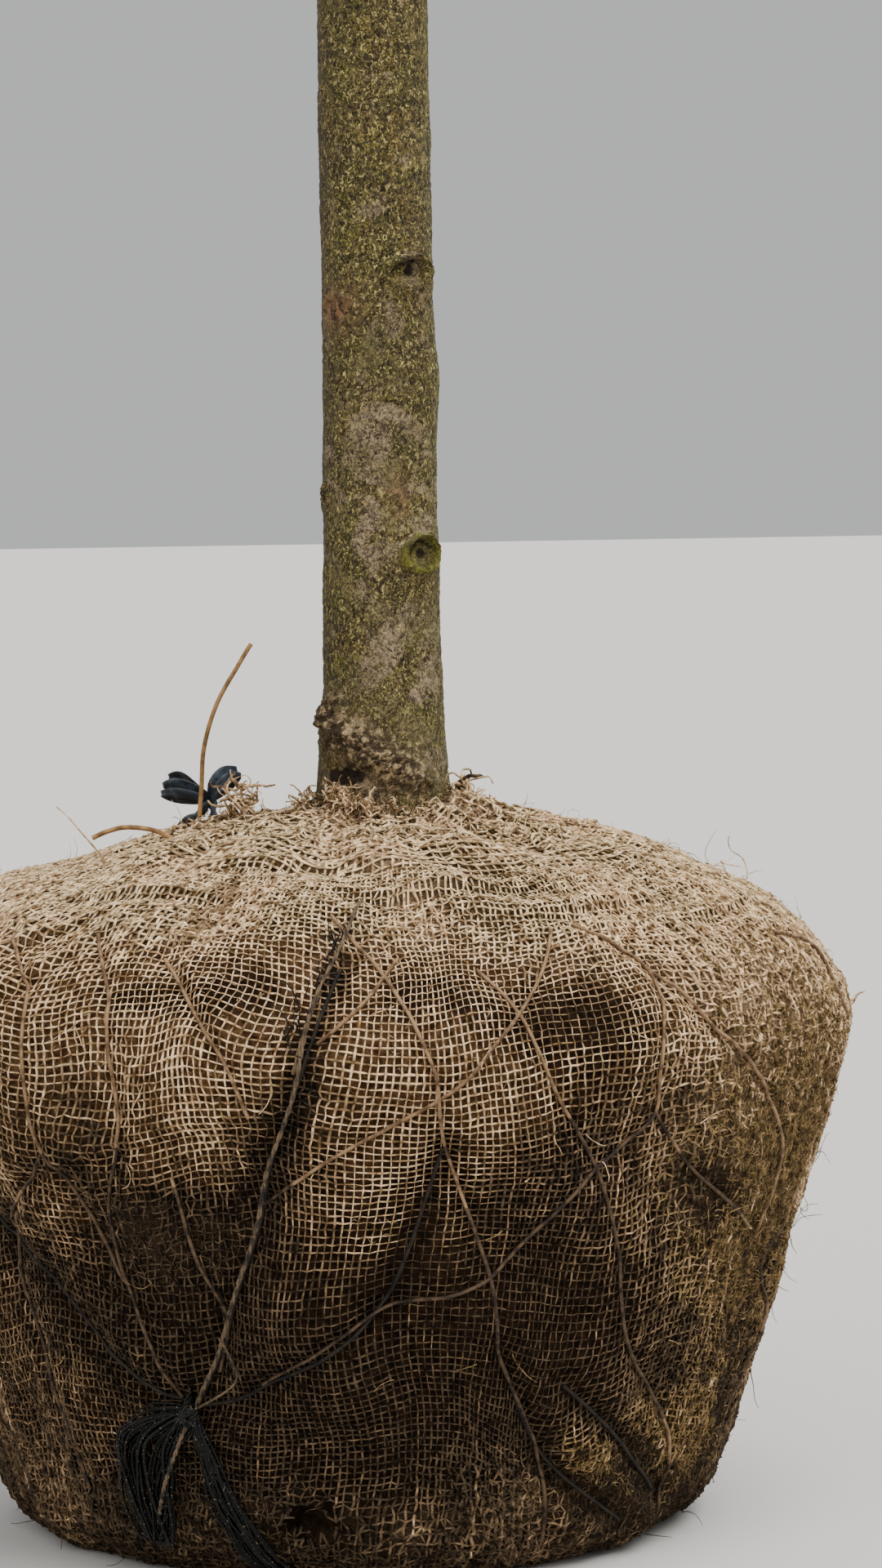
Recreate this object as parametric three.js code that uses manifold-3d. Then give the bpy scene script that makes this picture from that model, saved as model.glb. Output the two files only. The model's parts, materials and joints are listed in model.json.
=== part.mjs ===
// A young broad-leaved street tree in its bare winter state, standing on its wrapped root ball.
// Millimetres, +Z up. The origin is the middle of the root ball's flat underside.
// Bearings are in degrees, from the front (-Y) towards the right (+X).
import * as THREE from "three";
import { mergeVertices } from "three/addons/utils/BufferGeometryUtils.js";
import Module from "manifold-3d";

const { degToRad, radToDeg, lerp, clamp, euclideanModulo } = THREE.MathUtils;

const wasm = await Module();
wasm.setup();

const seat = 0.3; // clearance wherever one piece rests against another

// Root ball: an elliptical dome over a tapering drum, with a flat underside.
const ballRadius = 368;
const waistHeight = 390;
const domeHeight = 172;
const footTaper = 0.26; // share of the radius lost from the waist down to the ground
const footTaperPower = 1.3;
const footRounding = 40;
const footShift = -26; // the foot stands a little to the left of the stem
const waistShift = -10; // and so, less, does the waist
const seatHeight = 559; // the flat on top of the dome that the stem stands on
const ballSides = 40;
const drumLevels = [0, 5, 13, 25, 40, 75, 120, 170, 225, 280, 335, 372];
const domeLevels = [0.1, 0.24, 0.38, 0.52, 0.65, 0.76, 0.85, 0.92, 0.965]; // shares of its height

// Slow swells round the ball: share of the radius, waves round it, where they start, how they lean.
const ballWaves = [
  { share: 0.012, count: 3, start: 0.6, climb: 160 },
  { share: 0.009, count: 5, start: -1.1, climb: -95 },
  { share: 0.006, count: 9, start: 0, climb: 60 },
];

// The ball's fuller shoulder on the left: share of the radius, where it is, how far it spreads.
const shoulder = { share: 0.075, bearing: -85, height: 480, wide: 50, tall: 130 };

// The wrap's gathered neck: radius as a share of the outer one, height above the ball's seat.
const collarOuter = 128;
const collarSides = 26;
const collarProfile = [
  [0, -30],
  [1, -30],
  [1, -8],
  [0.83, 0],
  [0.66, 6],
  [0.53, 9],
  [0, 9],
];
const collarPleats = { few: 0.06, many: 0.05, highLift: 2.5, lowLift: 1.5 };

// Black twine: routes over the ball as bearing and height, chosen by hand.
const twineRadius = 4;
const bowRadius = 4.5;
const bowKnotRadius = 9;
const twineSides = 5;
const knotRadius = 15;
const knotShape = [1.25, 0.8, 0.95];
const knotPlace = [-23.5, 134];
const strandRoute = [
  [-2, 508],
  [-4, 470],
  [-6, 432],
  [-8.5, 374],
  [-11.5, 320],
  [-13.5, 266],
  [-18.5, 188],
  knotPlace,
];
const loopRoute = [
  knotPlace,
  [-30, 129],
  [-34, 112],
  [-35.5, 84],
  [-34, 56],
  [-31.5, 42],
  [-29.5, 60],
  [-28, 90],
  [-26, 114],
  knotPlace,
];
const tailRoute = [knotPlace, [-21.5, 100], [-19, 66], [-14.5, 28]];

// The bow's two loops stand on the ball's shoulder: sideways, back and up from where it is tied.
const bowPlace = [-128, 540];
const leftBowLoop = [
  [5, 0, 10],
  [-8, 3, 28],
  [-26, 4, 32],
  [-30, 4, 20],
  [-12, 2, 12],
  [5, 0, 10],
];
const rightBowLoop = [
  [5, 0, 10],
  [7, 2, 32],
  [18, 4, 42],
  [26, 4, 34],
  [16, 2, 18],
  [5, 0, 10],
];
const bowKnot = [5, 0, 7];

// Stem
const stemHeight = 4500; // from the ball's top to the point where the leader's twigs take over
const fullHeight = 5040; // from the ball's top to the leader's tip
const stemRadius = 47;
const stemTaperPower = 0.75;
const flareRadius = 11;
const flareHeight = 34;
const leaderTipRadius = 3;
const stemSides = 16;
const stemRings = 36;
const ringCrowding = 1.7; // above 1, rings stand closer together towards the foot

// The stem's slow bends: how far it strays sideways, over what height.
const stemSway = {
  x: [{ reach: -4, over: 640 }, { reach: 12, over: 1900 }],
  y: [{ reach: 5, over: 900 }, { reach: -6, over: 2100 }],
};

// Pruning scars and swellings: bearing, height above the ball, how far they stand out, how wide they are.
const stemKnots = [
  { bearing: 53, height: 426, proud: 5, width: 24 },
  { bearing: 48, height: 200, proud: 5, width: 24 },
  { bearing: 75, height: 332, proud: 5, width: 46 },
  { bearing: -43, height: 393, proud: 4, width: 24 },
  { bearing: -30, height: 48, proud: 9, width: 34 },
  { bearing: 150, height: 890, proud: 5, width: 26 },
  { bearing: -120, height: 1420, proud: 5, width: 26 },
  { bearing: 20, height: 1760, proud: 4, width: 26 },
];

// Boughs, from the lowest to the highest
const boughCount = 15;
const lowestBough = 2120; // above the ball's top
const highestBough = 4330;
const lowBoughLength = 1400;
const highBoughLength = 560;
const crownBelly = 0.1; // how much longer the middle boughs are than a straight line would give
const lowBoughAngle = 58; // degrees from the vertical, where the bough leaves the stem
const highBoughAngle = 36;
const tipAngle = 20;
const firstBearing = 25;
const goldenAngle = 137.508;
const boughThickness = 0.4; // of the stem's radius there
const limbTipRadius = 1.6;
const limbTaperPower = 0.8;
const boughShare = 1 / 3; // of the limb's length, before its twigs take over
const boughSides = 7;
const limbSteps = 12; // straight steps in a limb's curve
const boughSteps = limbSteps * boughShare;
const limbDrift = 9; // degrees that a limb wanders to either side

// Short twiggy shoots straight from the stem
const spurCount = 7;
const lowestSpur = 2260;
const highestSpur = 4240;
const spurLength = 430;
const spurAngle = 62;
const spurTipAngle = 30;
const spurRadius = 5.5;
const spurTipRadius = 1.4;
const spurSteps = 4;

// Leader: the stem's own thin top
const leaderBearing = 40;
const leaderLean = 3;
const leaderTipLean = 5;
const leaderSteps = 5;

// Twigs
const boughTwigs = 8;
const spurTwigs = 4;
const leaderTwigs = 7;
const sideTwigs = 1; // on each twig of a bough or of the leader
const twigClearance = 6;
const twigSides = 3;
const twigSteps = 2;
const twigLift = 0.24; // how much a twig turns upwards at each step
const twigTaper = 0.75;
const twigStemSides = 4;
const lengthTries = [1, 0.72, 0.5];
const twigRule = {
  firstPlace: 0.12, // of the twiggy stem's length
  placeRange: 0.82,
  spinPlay: 0.5,
  spread: 38, // degrees from the parent
  spreadPlay: 16,
  length: 0.62, // of the twiggy stem's length, at its root
  lengthLoss: 0.42, // at its tip
  leastLength: 0.8,
  lengthPlay: 0.4,
  thickness: 0.62, // of the parent's radius
};
const sideTwigRule = {
  firstPlace: 0.3,
  placeStep: 0.34,
  placePlay: 0.1,
  spread: 0.6, // radians
  spreadPlay: 0.25,
  length: 0.62,
  lengthLoss: 0.3,
  thickness: 0.6,
};

const palette = {
  hessian: new THREE.MeshStandardMaterial({ color: 0x8a6f4f, roughness: 0.95, metalness: 0 }),
  paleHessian: new THREE.MeshStandardMaterial({ color: 0xa58a6a, roughness: 0.95, metalness: 0 }),
  blackTwine: new THREE.MeshStandardMaterial({ color: 0x1c1e20, roughness: 0.7, metalness: 0 }),
  bark: new THREE.MeshStandardMaterial({ color: 0x6a6247, roughness: 0.9, metalness: 0 }),
  twigBark: new THREE.MeshStandardMaterial({ color: 0x5b4a3a, roughness: 0.8, metalness: 0 }),
};

const tree = new THREE.Group();

// The same numbers come out for the same seed each time.
function seededRandom(seed) {
  let state = seed;
  return () => {
    state = (state * 48271) % 2147483647;
    return state / 2147483647;
  };
}

function solidFrom(geometry) {
  const bare = geometry.clone();
  bare.deleteAttribute("normal");
  bare.deleteAttribute("uv");
  const merged = mergeVertices(bare, 1e-3);
  return new wasm.Manifold(
    new wasm.Mesh({
      numProp: 3,
      vertProperties: merged.attributes.position.array,
      triVerts: new Uint32Array(merged.index.array),
    }),
  );
}

function geometryFrom(solid) {
  const mesh = solid.getMesh();
  const geometry = new THREE.BufferGeometry();
  geometry.setAttribute("position", new THREE.BufferAttribute(mesh.vertProperties, 3));
  geometry.setIndex(new THREE.BufferAttribute(mesh.triVerts, 1));
  geometry.computeVertexNormals();
  return geometry;
}

function place(name, solid, material) {
  const mesh = new THREE.Mesh(geometryFrom(solid), material);
  mesh.name = name;
  tree.add(mesh);
}

function onBearing(bearing, radius, height) {
  const angle = degToRad(bearing);
  return new THREE.Vector3(radius * Math.sin(angle), -radius * Math.cos(angle), height);
}

// Moves every vertex of a geometry to where the rule puts it.
function reshape(geometry, rule) {
  const position = geometry.attributes.position;
  for (let i = 0; i < position.count; i++) {
    const moved = rule(position.getX(i), position.getY(i), position.getZ(i));
    position.setXYZ(i, moved.x, moved.y, moved.z);
  }
  return geometry;
}

// A solid of revolution round Z, from [radius, height] pairs.
function lathe(profile, sides) {
  const points = profile.map(([radius, height]) => new THREE.Vector2(radius, height));
  const geometry = new THREE.LatheGeometry(points, sides);
  geometry.rotateX(Math.PI / 2);
  return geometry;
}

// A capped cylinder bent along a path. radiusAt(share, bearing) gives its radius round each ring.
function bentCylinder(pathAt, radiusAt, sides, rings, pointed = false) {
  const side = new THREE.Vector3();
  const other = new THREE.Vector3();
  const geometry = new THREE.CylinderGeometry(pointed ? 0 : 1, 1, 1, sides, rings);
  reshape(geometry, (x, y, z) => {
    const share = y + 0.5;
    const { point, along } = pathAt(share);
    side.set(1, 0, 0).addScaledVector(along, -along.x).normalize();
    other.crossVectors(side, along);
    const spread = Math.hypot(x, z);
    const scale = spread > 0 ? radiusAt(share, radToDeg(Math.atan2(x, -z))) / spread : 0;
    return point
      .clone()
      .addScaledVector(side, x * scale)
      .addScaledVector(other, z * scale);
  });
  return solidFrom(geometry);
}

// Root ball

function ballSwell(bearing, height) {
  const angle = degToRad(bearing);
  const turn = (euclideanModulo(bearing - shoulder.bearing + 180, 360) - 180) / shoulder.wide;
  const rise = (height - shoulder.height) / shoulder.tall;
  return ballWaves.reduce(
    (sum, wave) => sum + wave.share * Math.sin(wave.count * angle + wave.start + height / wave.climb),
    shoulder.share * Math.exp(-turn * turn - rise * rise),
  );
}

function ballShift(height) {
  if (height < waistHeight) return lerp(footShift, waistShift, height / waistHeight);
  const above = (height - waistHeight) / domeHeight;
  return waistShift * (1 - above * above);
}

// The drum's radius at a height, before the swells.
function drumRadius(height) {
  const below = (waistHeight - height) / waistHeight;
  const rounding = Math.max(0, 1 - height / footRounding);
  const corner = footRounding * (1 - Math.sqrt(Math.max(0, 1 - rounding * rounding)));
  return ballRadius * (1 - footTaper * Math.pow(below, footTaperPower)) - corner;
}

function domeRadius(height) {
  const above = (height - waistHeight) / domeHeight;
  return ballRadius * Math.sqrt(Math.max(0, 1 - above * above));
}

function ballPoint(bearing, height, proud = 0) {
  const plain = height < waistHeight ? drumRadius(height) : domeRadius(height);
  const radius = plain * (1 + ballSwell(bearing, height)) + proud;
  const point = onBearing(bearing, radius, height);
  point.x += ballShift(height);
  return point;
}

// A lathe of the ball's profile, pushed in and out by the swells.
function rootBall(grow) {
  const domeHeights = domeLevels.map((share) => waistHeight + share * domeHeight);
  const profile = [
    [0, 0],
    ...drumLevels.map((height) => [drumRadius(height), height]),
    ...[...domeHeights, seatHeight].map((height) => [domeRadius(height), height]),
    [0, seatHeight],
  ];
  const geometry = reshape(lathe(profile, ballSides), (x, y, z) => {
    const radius = Math.hypot(x, y);
    const bearing = radius > 0 ? radToDeg(Math.atan2(x, -y)) : 0;
    const onSeat = z > seatHeight - 1;
    const swollen = radius * (1 + (onSeat ? 0 : ballSwell(bearing, z)));
    const moved = onBearing(bearing, radius > 0 ? swollen + grow : 0, z + (onSeat ? grow : 0));
    moved.x += ballShift(z);
    return moved;
  });
  return solidFrom(geometry);
}

function gatheredCollar(ballGrown, stemGrown) {
  const profile = collarProfile.map(([share, height]) => [share * collarOuter, seatHeight + height]);
  const geometry = reshape(lathe(profile, collarSides), (x, y, z) => {
    const angle = Math.atan2(x, -y);
    const pleats =
      collarPleats.many * Math.sin(9 * angle) + collarPleats.few * Math.sin(4 * angle + 1.2);
    const lift =
      collarPleats.highLift * Math.sin(5 * angle + 0.4) + collarPleats.lowLift * Math.sin(12 * angle);
    const lifts = z > seatHeight && Math.hypot(x, y) > 1;
    return new THREE.Vector3(x * (1 + pleats), y * (1 + pleats), z + (lifts ? lift : 0));
  });
  return solidFrom(geometry).subtract(ballGrown).subtract(stemGrown);
}

// Twine

function overBall(route, proud) {
  const points = route.map(([bearing, height]) => ballPoint(bearing, height, proud));
  return new THREE.CatmullRomCurve3(points);
}

function twine(curve, radius, rings) {
  return bentCylinder(
    (share) => ({ point: curve.getPointAt(share), along: curve.getTangentAt(share) }),
    () => radius,
    twineSides,
    rings,
  );
}

function lowerTie(ballGrown) {
  const knot = new THREE.SphereGeometry(knotRadius, 8, 5);
  knot.scale(...knotShape);
  knot.translate(...ballPoint(...knotPlace, knotRadius * 0.45));
  return solidFrom(knot)
    .add(twine(overBall(strandRoute, 0.6 * twineRadius), twineRadius, 15))
    .add(twine(overBall(loopRoute, 1.1 * twineRadius), 1.5 * twineRadius, 13))
    .add(twine(overBall(tailRoute, 1.1 * twineRadius), 1.7 * twineRadius, 6))
    .subtract(ballGrown);
}

function bowLoop(points) {
  const foot = ballPoint(...bowPlace);
  const curve = new THREE.CatmullRomCurve3(
    points.map(([sideways, back, up]) => new THREE.Vector3(sideways, back, up).add(foot)),
  );
  return twine(curve, bowRadius, 12);
}

function upperTie(ballGrown, collar) {
  const knot = new THREE.SphereGeometry(bowKnotRadius, 8, 6);
  knot.translate(...ballPoint(...bowPlace).add(new THREE.Vector3(...bowKnot)));
  return solidFrom(knot)
    .add(bowLoop(leftBowLoop))
    .add(bowLoop(rightBowLoop))
    .subtract(ballGrown)
    .subtract(collar);
}

// Stem

function swayAt(height, bends) {
  return bends.reduce((sum, bend) => sum + bend.reach * Math.sin(height / bend.over), 0);
}

function stemPoint(height) {
  return new THREE.Vector3(
    swayAt(height, stemSway.x),
    swayAt(height, stemSway.y),
    seatHeight + seat + height,
  );
}

function stemThickness(height) {
  const taper = Math.pow(Math.max(0, 1 - height / fullHeight), stemTaperPower);
  return stemRadius * taper + leaderTipRadius * (1 - taper);
}

function knotSwell(bearing, height) {
  return stemKnots.reduce((sum, knot) => {
    const turn = euclideanModulo(bearing - knot.bearing + 180, 360) - 180;
    const around = (degToRad(turn) * stemRadius) / knot.width;
    const up = (height - knot.height) / knot.width;
    return sum + knot.proud * Math.exp(-(around * around + up * up));
  }, 0);
}

function stemSurface(bearing, height) {
  const angle = degToRad(bearing);
  const lobes = 1 + 0.35 * Math.sin(3 * angle + 0.8) + 0.2 * Math.sin(5 * angle);
  const flare = flareRadius * lobes * Math.exp(-height / flareHeight);
  const waver = 1 + 0.02 * Math.sin(2 * angle + height / 210) + 0.012 * Math.sin(height / 75);
  return stemThickness(height) * waver + flare + knotSwell(bearing, height);
}

function stem(grow) {
  const up = new THREE.Vector3(0, 0, 1);
  const heightAt = (share) => stemHeight * Math.pow(share, ringCrowding);
  return bentCylinder(
    (share) => ({ point: stemPoint(heightAt(share)), along: up }),
    (share, bearing) => stemSurface(bearing, heightAt(share)) + grow,
    stemSides,
    stemRings,
  );
}

// Limbs: a bough, then the stem of its twigs, on one curve that rises towards the light.

function limbPath(start, bearing, startAngle, endAngle, length, steps) {
  const points = [start.clone()];
  const headings = [];
  for (let i = 0; i < steps; i++) {
    const share = (i + 0.5) / steps;
    const lean = degToRad(lerp(startAngle, endAngle, share));
    const drift = bearing + limbDrift * Math.sin(share * 5 + bearing);
    const heading = onBearing(drift, Math.sin(lean), Math.cos(lean));
    headings.push(heading);
    points.push(points[i].clone().addScaledVector(heading, length / steps));
  }
  headings.push(headings[steps - 1]);
  return { points, headings, length };
}

function onPath(path, share) {
  const last = path.points.length - 1;
  const place = clamp(share, 0, 1) * last;
  const i = Math.min(Math.floor(place), last - 1);
  return {
    point: path.points[i].clone().lerp(path.points[i + 1], place - i),
    along: path.headings[i].clone().lerp(path.headings[i + 1], place - i).normalize(),
  };
}

function limbRadius(limb, share) {
  return lerp(limb.tipRadius, limb.rootRadius, Math.pow(1 - share, limbTaperPower));
}

// A short shoot grows on the bearing that keeps it furthest from the limbs already there.
function freestPath(height, length, limbs) {
  const taken = limbs.flatMap((limb) => limb.path.points);
  const clearance = (path) =>
    Math.min(...path.points.slice(1).flatMap((own) => taken.map((point) => own.distanceTo(point))));
  const paths = [];
  for (let bearing = 0; bearing < 360; bearing += 15) {
    const start = stemPoint(height).add(onBearing(bearing, 0.6 * stemThickness(height), 0));
    paths.push(limbPath(start, bearing, spurAngle, spurTipAngle, length, spurSteps));
  }
  return paths.reduce((best, path) => (clearance(path) > clearance(best) ? path : best));
}

function layOutBough(i) {
  const rise = i / (boughCount - 1);
  const random = seededRandom(4000 + 37 * i);
  const height = lerp(lowestBough, highestBough, rise) + 40 * (random() - 0.5);
  const bearing = firstBearing + goldenAngle * i + 16 * (random() - 0.5);
  const belly = 1 + crownBelly * Math.sin(Math.PI * rise);
  const reach = lerp(lowBoughLength, highBoughLength, Math.pow(rise, 1.25));
  const length = reach * belly * (0.93 + 0.14 * random());
  const angle = lerp(lowBoughAngle, highBoughAngle, rise) + 6 * (random() - 0.5);
  return {
    name: String(i + 1).padStart(2, "0"),
    path: limbPath(stemPoint(height), bearing, angle, tipAngle, length, limbSteps),
    rootRadius: boughThickness * stemThickness(height) + 2.5,
    tipRadius: limbTipRadius,
    boughEnd: boughShare,
    seed: 900 + 61 * i,
    twigs: boughTwigs,
    sideTwigs,
  };
}

function layOutSpur(i, limbs) {
  const rise = i / (spurCount - 1);
  const random = seededRandom(7000 + 53 * i);
  const height = lerp(lowestSpur, highestSpur, rise) + 30 * (random() - 0.5);
  const length = spurLength * (0.8 + 0.4 * random());
  return {
    name: "spur_" + (i + 1),
    path: freestPath(height, length, limbs),
    rootRadius: spurRadius,
    tipRadius: spurTipRadius,
    boughEnd: 0,
    seed: 2600 + 61 * i,
    twigs: spurTwigs,
    sideTwigs: 0,
  };
}

function layOutLeader() {
  const length = fullHeight - stemHeight;
  const start = stemPoint(stemHeight);
  return {
    name: "leader",
    path: limbPath(start, leaderBearing, leaderLean, leaderTipLean, length, leaderSteps),
    rootRadius: stemThickness(stemHeight),
    tipRadius: limbTipRadius,
    boughEnd: 0,
    seed: 3301,
    twigs: leaderTwigs,
    sideTwigs,
  };
}

// Every limb of the tree, each laid out clear of those before it.
function layOutLimbs() {
  const limbs = [];
  for (let i = 0; i < boughCount; i++) limbs.push(layOutBough(i));
  for (let i = 0; i < spurCount; i++) limbs.push(layOutSpur(i, limbs));
  limbs.push(layOutLeader());
  return limbs;
}

// A point belongs to the limb whose twiggy stem is nearest, if it is clear of all the bare wood.
function spaceTest(limbs) {
  const sampled = (limb, from, to, count) =>
    Array.from({ length: count + 1 }, (_, i) => lerp(from, to, i / count)).map((share) => ({
      point: onPath(limb.path, share).point,
      radius: limbRadius(limb, share),
    }));
  const axes = limbs.map((limb) => sampled(limb, limb.boughEnd, 1, 10));
  const wood = limbs
    .filter((limb) => limb.boughEnd > 0)
    .flatMap((limb) => sampled(limb, 0, limb.boughEnd, 12));
  for (let height = 0; height <= stemHeight; height += 40) {
    wood.push({ point: stemPoint(height), radius: stemThickness(height) });
  }
  const nearest = (point, samples) =>
    Math.min(...samples.map((sample) => sample.point.distanceTo(point)));
  return (own, point, radius) => {
    const room = radius + twigClearance;
    const mine = nearest(point, axes[own]);
    const nearer = axes.some((axis, i) => i !== own && nearest(point, axis) < mine + 2 * room);
    return !nearer && wood.every((piece) => piece.point.distanceTo(point) > piece.radius + room);
  };
}

// A twig leaves its parent at an angle and bends up a little at each step.
function growTwig(parent, share, spin, spread, length, rootRadius) {
  const { point, along } = onPath(parent, share);
  const across = new THREE.Vector3(1, 0, 0).addScaledVector(along, -along.x).normalize();
  const other = new THREE.Vector3().crossVectors(across, along);
  const heading = along
    .clone()
    .multiplyScalar(Math.cos(spread))
    .addScaledVector(across, Math.sin(spread) * Math.cos(spin))
    .addScaledVector(other, Math.sin(spread) * Math.sin(spin))
    .normalize();
  const points = [point];
  const headings = [];
  for (let i = 0; i < twigSteps; i++) {
    headings.push(heading.clone());
    points.push(points[i].clone().addScaledVector(heading, length / twigSteps));
    heading.z += twigLift;
    heading.normalize();
  }
  headings.push(headings[twigSteps - 1]);
  return { points, headings, length, rootRadius };
}

function staysIn(belongs, own, twig) {
  const shares = [1, 2, 3, 4, 5, 6, 7, 8].map((i) => i / 8);
  return shares.every((share) => belongs(own, onPath(twig, share).point, twig.rootRadius));
}

// The twigs of one limb by a seeded rule: each order is shorter and thinner than its parent.
function growMass(limb, own, belongs) {
  const random = seededRandom(limb.seed);
  const rule = twigRule;
  const side = sideTwigRule;
  const twigs = [];
  const stemLength = limb.path.length * (1 - limb.boughEnd);
  for (let i = 0; i < limb.twigs; i++) {
    const along = rule.firstPlace + (rule.placeRange * i) / limb.twigs;
    const share = limb.boughEnd + (1 - limb.boughEnd) * along;
    const spin = degToRad(goldenAngle * i) + rule.spinPlay * random();
    const spread = degToRad(rule.spread + rule.spreadPlay * random());
    const reach = stemLength * (rule.length - rule.lengthLoss * along);
    const length = reach * (rule.leastLength + rule.lengthPlay * random());
    const radius = limbRadius(limb, share) * rule.thickness + 0.5;
    const children = Array.from({ length: limb.sideTwigs }, (_, j) => ({
      place: side.firstPlace + side.placeStep * j + side.placePlay * random(),
      spin: 2 * Math.PI * random(),
      spread: side.spread + side.spreadPlay * random(),
    }));
    const twig = lengthTries
      .map((part) => growTwig(limb.path, share, spin, spread, length * part, radius))
      .find((candidate) => staysIn(belongs, own, candidate));
    if (!twig) continue;
    twigs.push(twig);
    children.forEach((child) => {
      const childLength = twig.length * (side.length - side.lengthLoss * child.place);
      const childRadius = side.thickness * radius + 0.4;
      const grown = growTwig(twig, child.place, child.spin, child.spread, childLength, childRadius);
      if (staysIn(belongs, own, grown)) twigs.push(grown);
    });
  }
  return twigs;
}

function twigSolid(twig) {
  return bentCylinder(
    (share) => onPath(twig, share),
    (share) => twig.rootRadius * (1 - twigTaper * share),
    twigSides,
    twigSteps,
    true,
  );
}

// The tapering stem that carries a mass of twigs, from just past its bough's end.
function massStem(limb) {
  const from = limb.boughEnd + seat / limb.path.length;
  const steps = (limb.path.points.length - 1) * (1 - limb.boughEnd);
  return bentCylinder(
    (share) => onPath(limb.path, lerp(from, 1, share)),
    (share) => limbRadius(limb, lerp(from, 1, share)),
    twigStemSides,
    Math.round(steps),
    true,
  );
}

// A bough swells a little into the collar where it leaves the stem.
function boughSolid(limb) {
  return bentCylinder(
    (share) => onPath(limb.path, share * limb.boughEnd),
    (share) => limbRadius(limb, share * limb.boughEnd) + 0.35 * limb.rootRadius * Math.exp(-share * 9),
    boughSides,
    boughSteps,
  );
}

function buildCrown(stemGrown) {
  const limbs = layOutLimbs();
  const belongs = spaceTest(limbs);
  limbs.forEach((limb, own) => {
    const hasBough = limb.boughEnd > 0;
    if (hasBough) place("bough_" + limb.name, boughSolid(limb).subtract(stemGrown), palette.bark);
    const twigs = growMass(limb, own, belongs).map(twigSolid);
    const mass = twigs.reduce((sum, twig) => sum.add(twig), massStem(limb));
    place("twigs_" + limb.name, hasBough ? mass : mass.subtract(stemGrown), palette.twigBark);
  });
}

const ballGrown = rootBall(seat);
const stemGrown = stem(seat);
const collar = gatheredCollar(ballGrown, stemGrown);

place("root_ball", rootBall(0), palette.hessian);
place("hessian_collar", collar, palette.paleHessian);
place("lower_tie", lowerTie(ballGrown), palette.blackTwine);
place("upper_tie", upperTie(ballGrown, collar), palette.blackTwine);
place("trunk", stem(0), palette.bark);
buildCrown(stemGrown);

export default tree;
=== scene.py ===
import json
import math

import bpy
import numpy as np
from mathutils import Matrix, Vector, kdtree, noise

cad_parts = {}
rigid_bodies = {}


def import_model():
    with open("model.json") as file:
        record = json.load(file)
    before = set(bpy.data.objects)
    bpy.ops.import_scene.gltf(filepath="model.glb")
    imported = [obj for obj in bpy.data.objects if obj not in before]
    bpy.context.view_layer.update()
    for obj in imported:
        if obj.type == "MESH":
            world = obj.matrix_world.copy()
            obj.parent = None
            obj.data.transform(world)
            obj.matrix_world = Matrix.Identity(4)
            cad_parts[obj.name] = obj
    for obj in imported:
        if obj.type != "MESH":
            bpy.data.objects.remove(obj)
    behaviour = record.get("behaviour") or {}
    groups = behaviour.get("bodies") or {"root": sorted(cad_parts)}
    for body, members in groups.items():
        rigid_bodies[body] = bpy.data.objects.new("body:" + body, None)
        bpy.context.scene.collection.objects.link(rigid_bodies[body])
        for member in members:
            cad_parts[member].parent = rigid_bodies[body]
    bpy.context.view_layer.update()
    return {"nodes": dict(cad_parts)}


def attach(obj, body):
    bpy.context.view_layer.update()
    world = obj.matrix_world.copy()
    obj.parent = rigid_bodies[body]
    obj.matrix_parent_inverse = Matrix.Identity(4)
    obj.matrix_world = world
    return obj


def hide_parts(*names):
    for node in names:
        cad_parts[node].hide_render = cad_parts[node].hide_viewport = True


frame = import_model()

# A bare young street tree on its wrapped root ball.
# Rules are worked out in millimetres, as the part was made, and turned into metres when a mesh is made.
# Bearings are in degrees, from the front (-Y) towards the right (+X).
mm = 0.001
goldenAngle = 137.508
nodeNames = sorted(frame["nodes"])


# Node trees

class Value:  # an output socket that can take part in sums
    def __init__(self, graph, socket):
        self.graph = graph
        self.socket = socket

    def __add__(self, other):
        return self.graph.maths("ADD", self, other)

    def __sub__(self, other):
        return self.graph.maths("SUBTRACT", self, other)

    def __rsub__(self, other):
        return self.graph.maths("SUBTRACT", other, self)

    def __mul__(self, other):
        return self.graph.maths("MULTIPLY", self, other)

    __radd__ = __add__
    __rmul__ = __mul__

    def size(self):  # how far from zero
        return self.graph.maths("ABSOLUTE", self, 0.0)

    def rising(self, low, high):  # 0 up to low, 1 from high on, smooth between
        limits = {"Value": self, "From Min": low, "From Max": high}
        return self.graph.node("ShaderNodeMapRange", limits, "Result", interpolation_type="SMOOTHSTEP")

    def beside(self, name):  # another output of the same node
        return Value(self.graph, self.socket.node.outputs[name])


class Graph:
    def __init__(self, tree):
        self.tree = tree
        self.tree.nodes.clear()

    def node(self, kind, inputs=None, output=0, **settings):
        made = self.tree.nodes.new(kind)
        for name, value in settings.items():
            setattr(made, name, value)
        sockets = {socket.identifier: socket for socket in made.inputs}
        for name, value in (inputs or {}).items():
            if isinstance(value, Value):
                self.tree.links.new(value.socket, sockets[name])
            else:
                sockets[name].default_value = value
        return Value(self, made.outputs[output]) if len(made.outputs) else made

    def maths(self, operation, first, second):
        return self.node("ShaderNodeMath", {"Value": first, "Value_001": second}, operation=operation)


def colour(red, green, blue):  # from screen values, 0 to 255
    def linear(channel):
        share = channel / 255
        return share / 12.92 if share <= 0.04045 else ((share + 0.055) / 1.055) ** 2.4
    return (linear(red), linear(green), linear(blue), 1.0)


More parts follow.
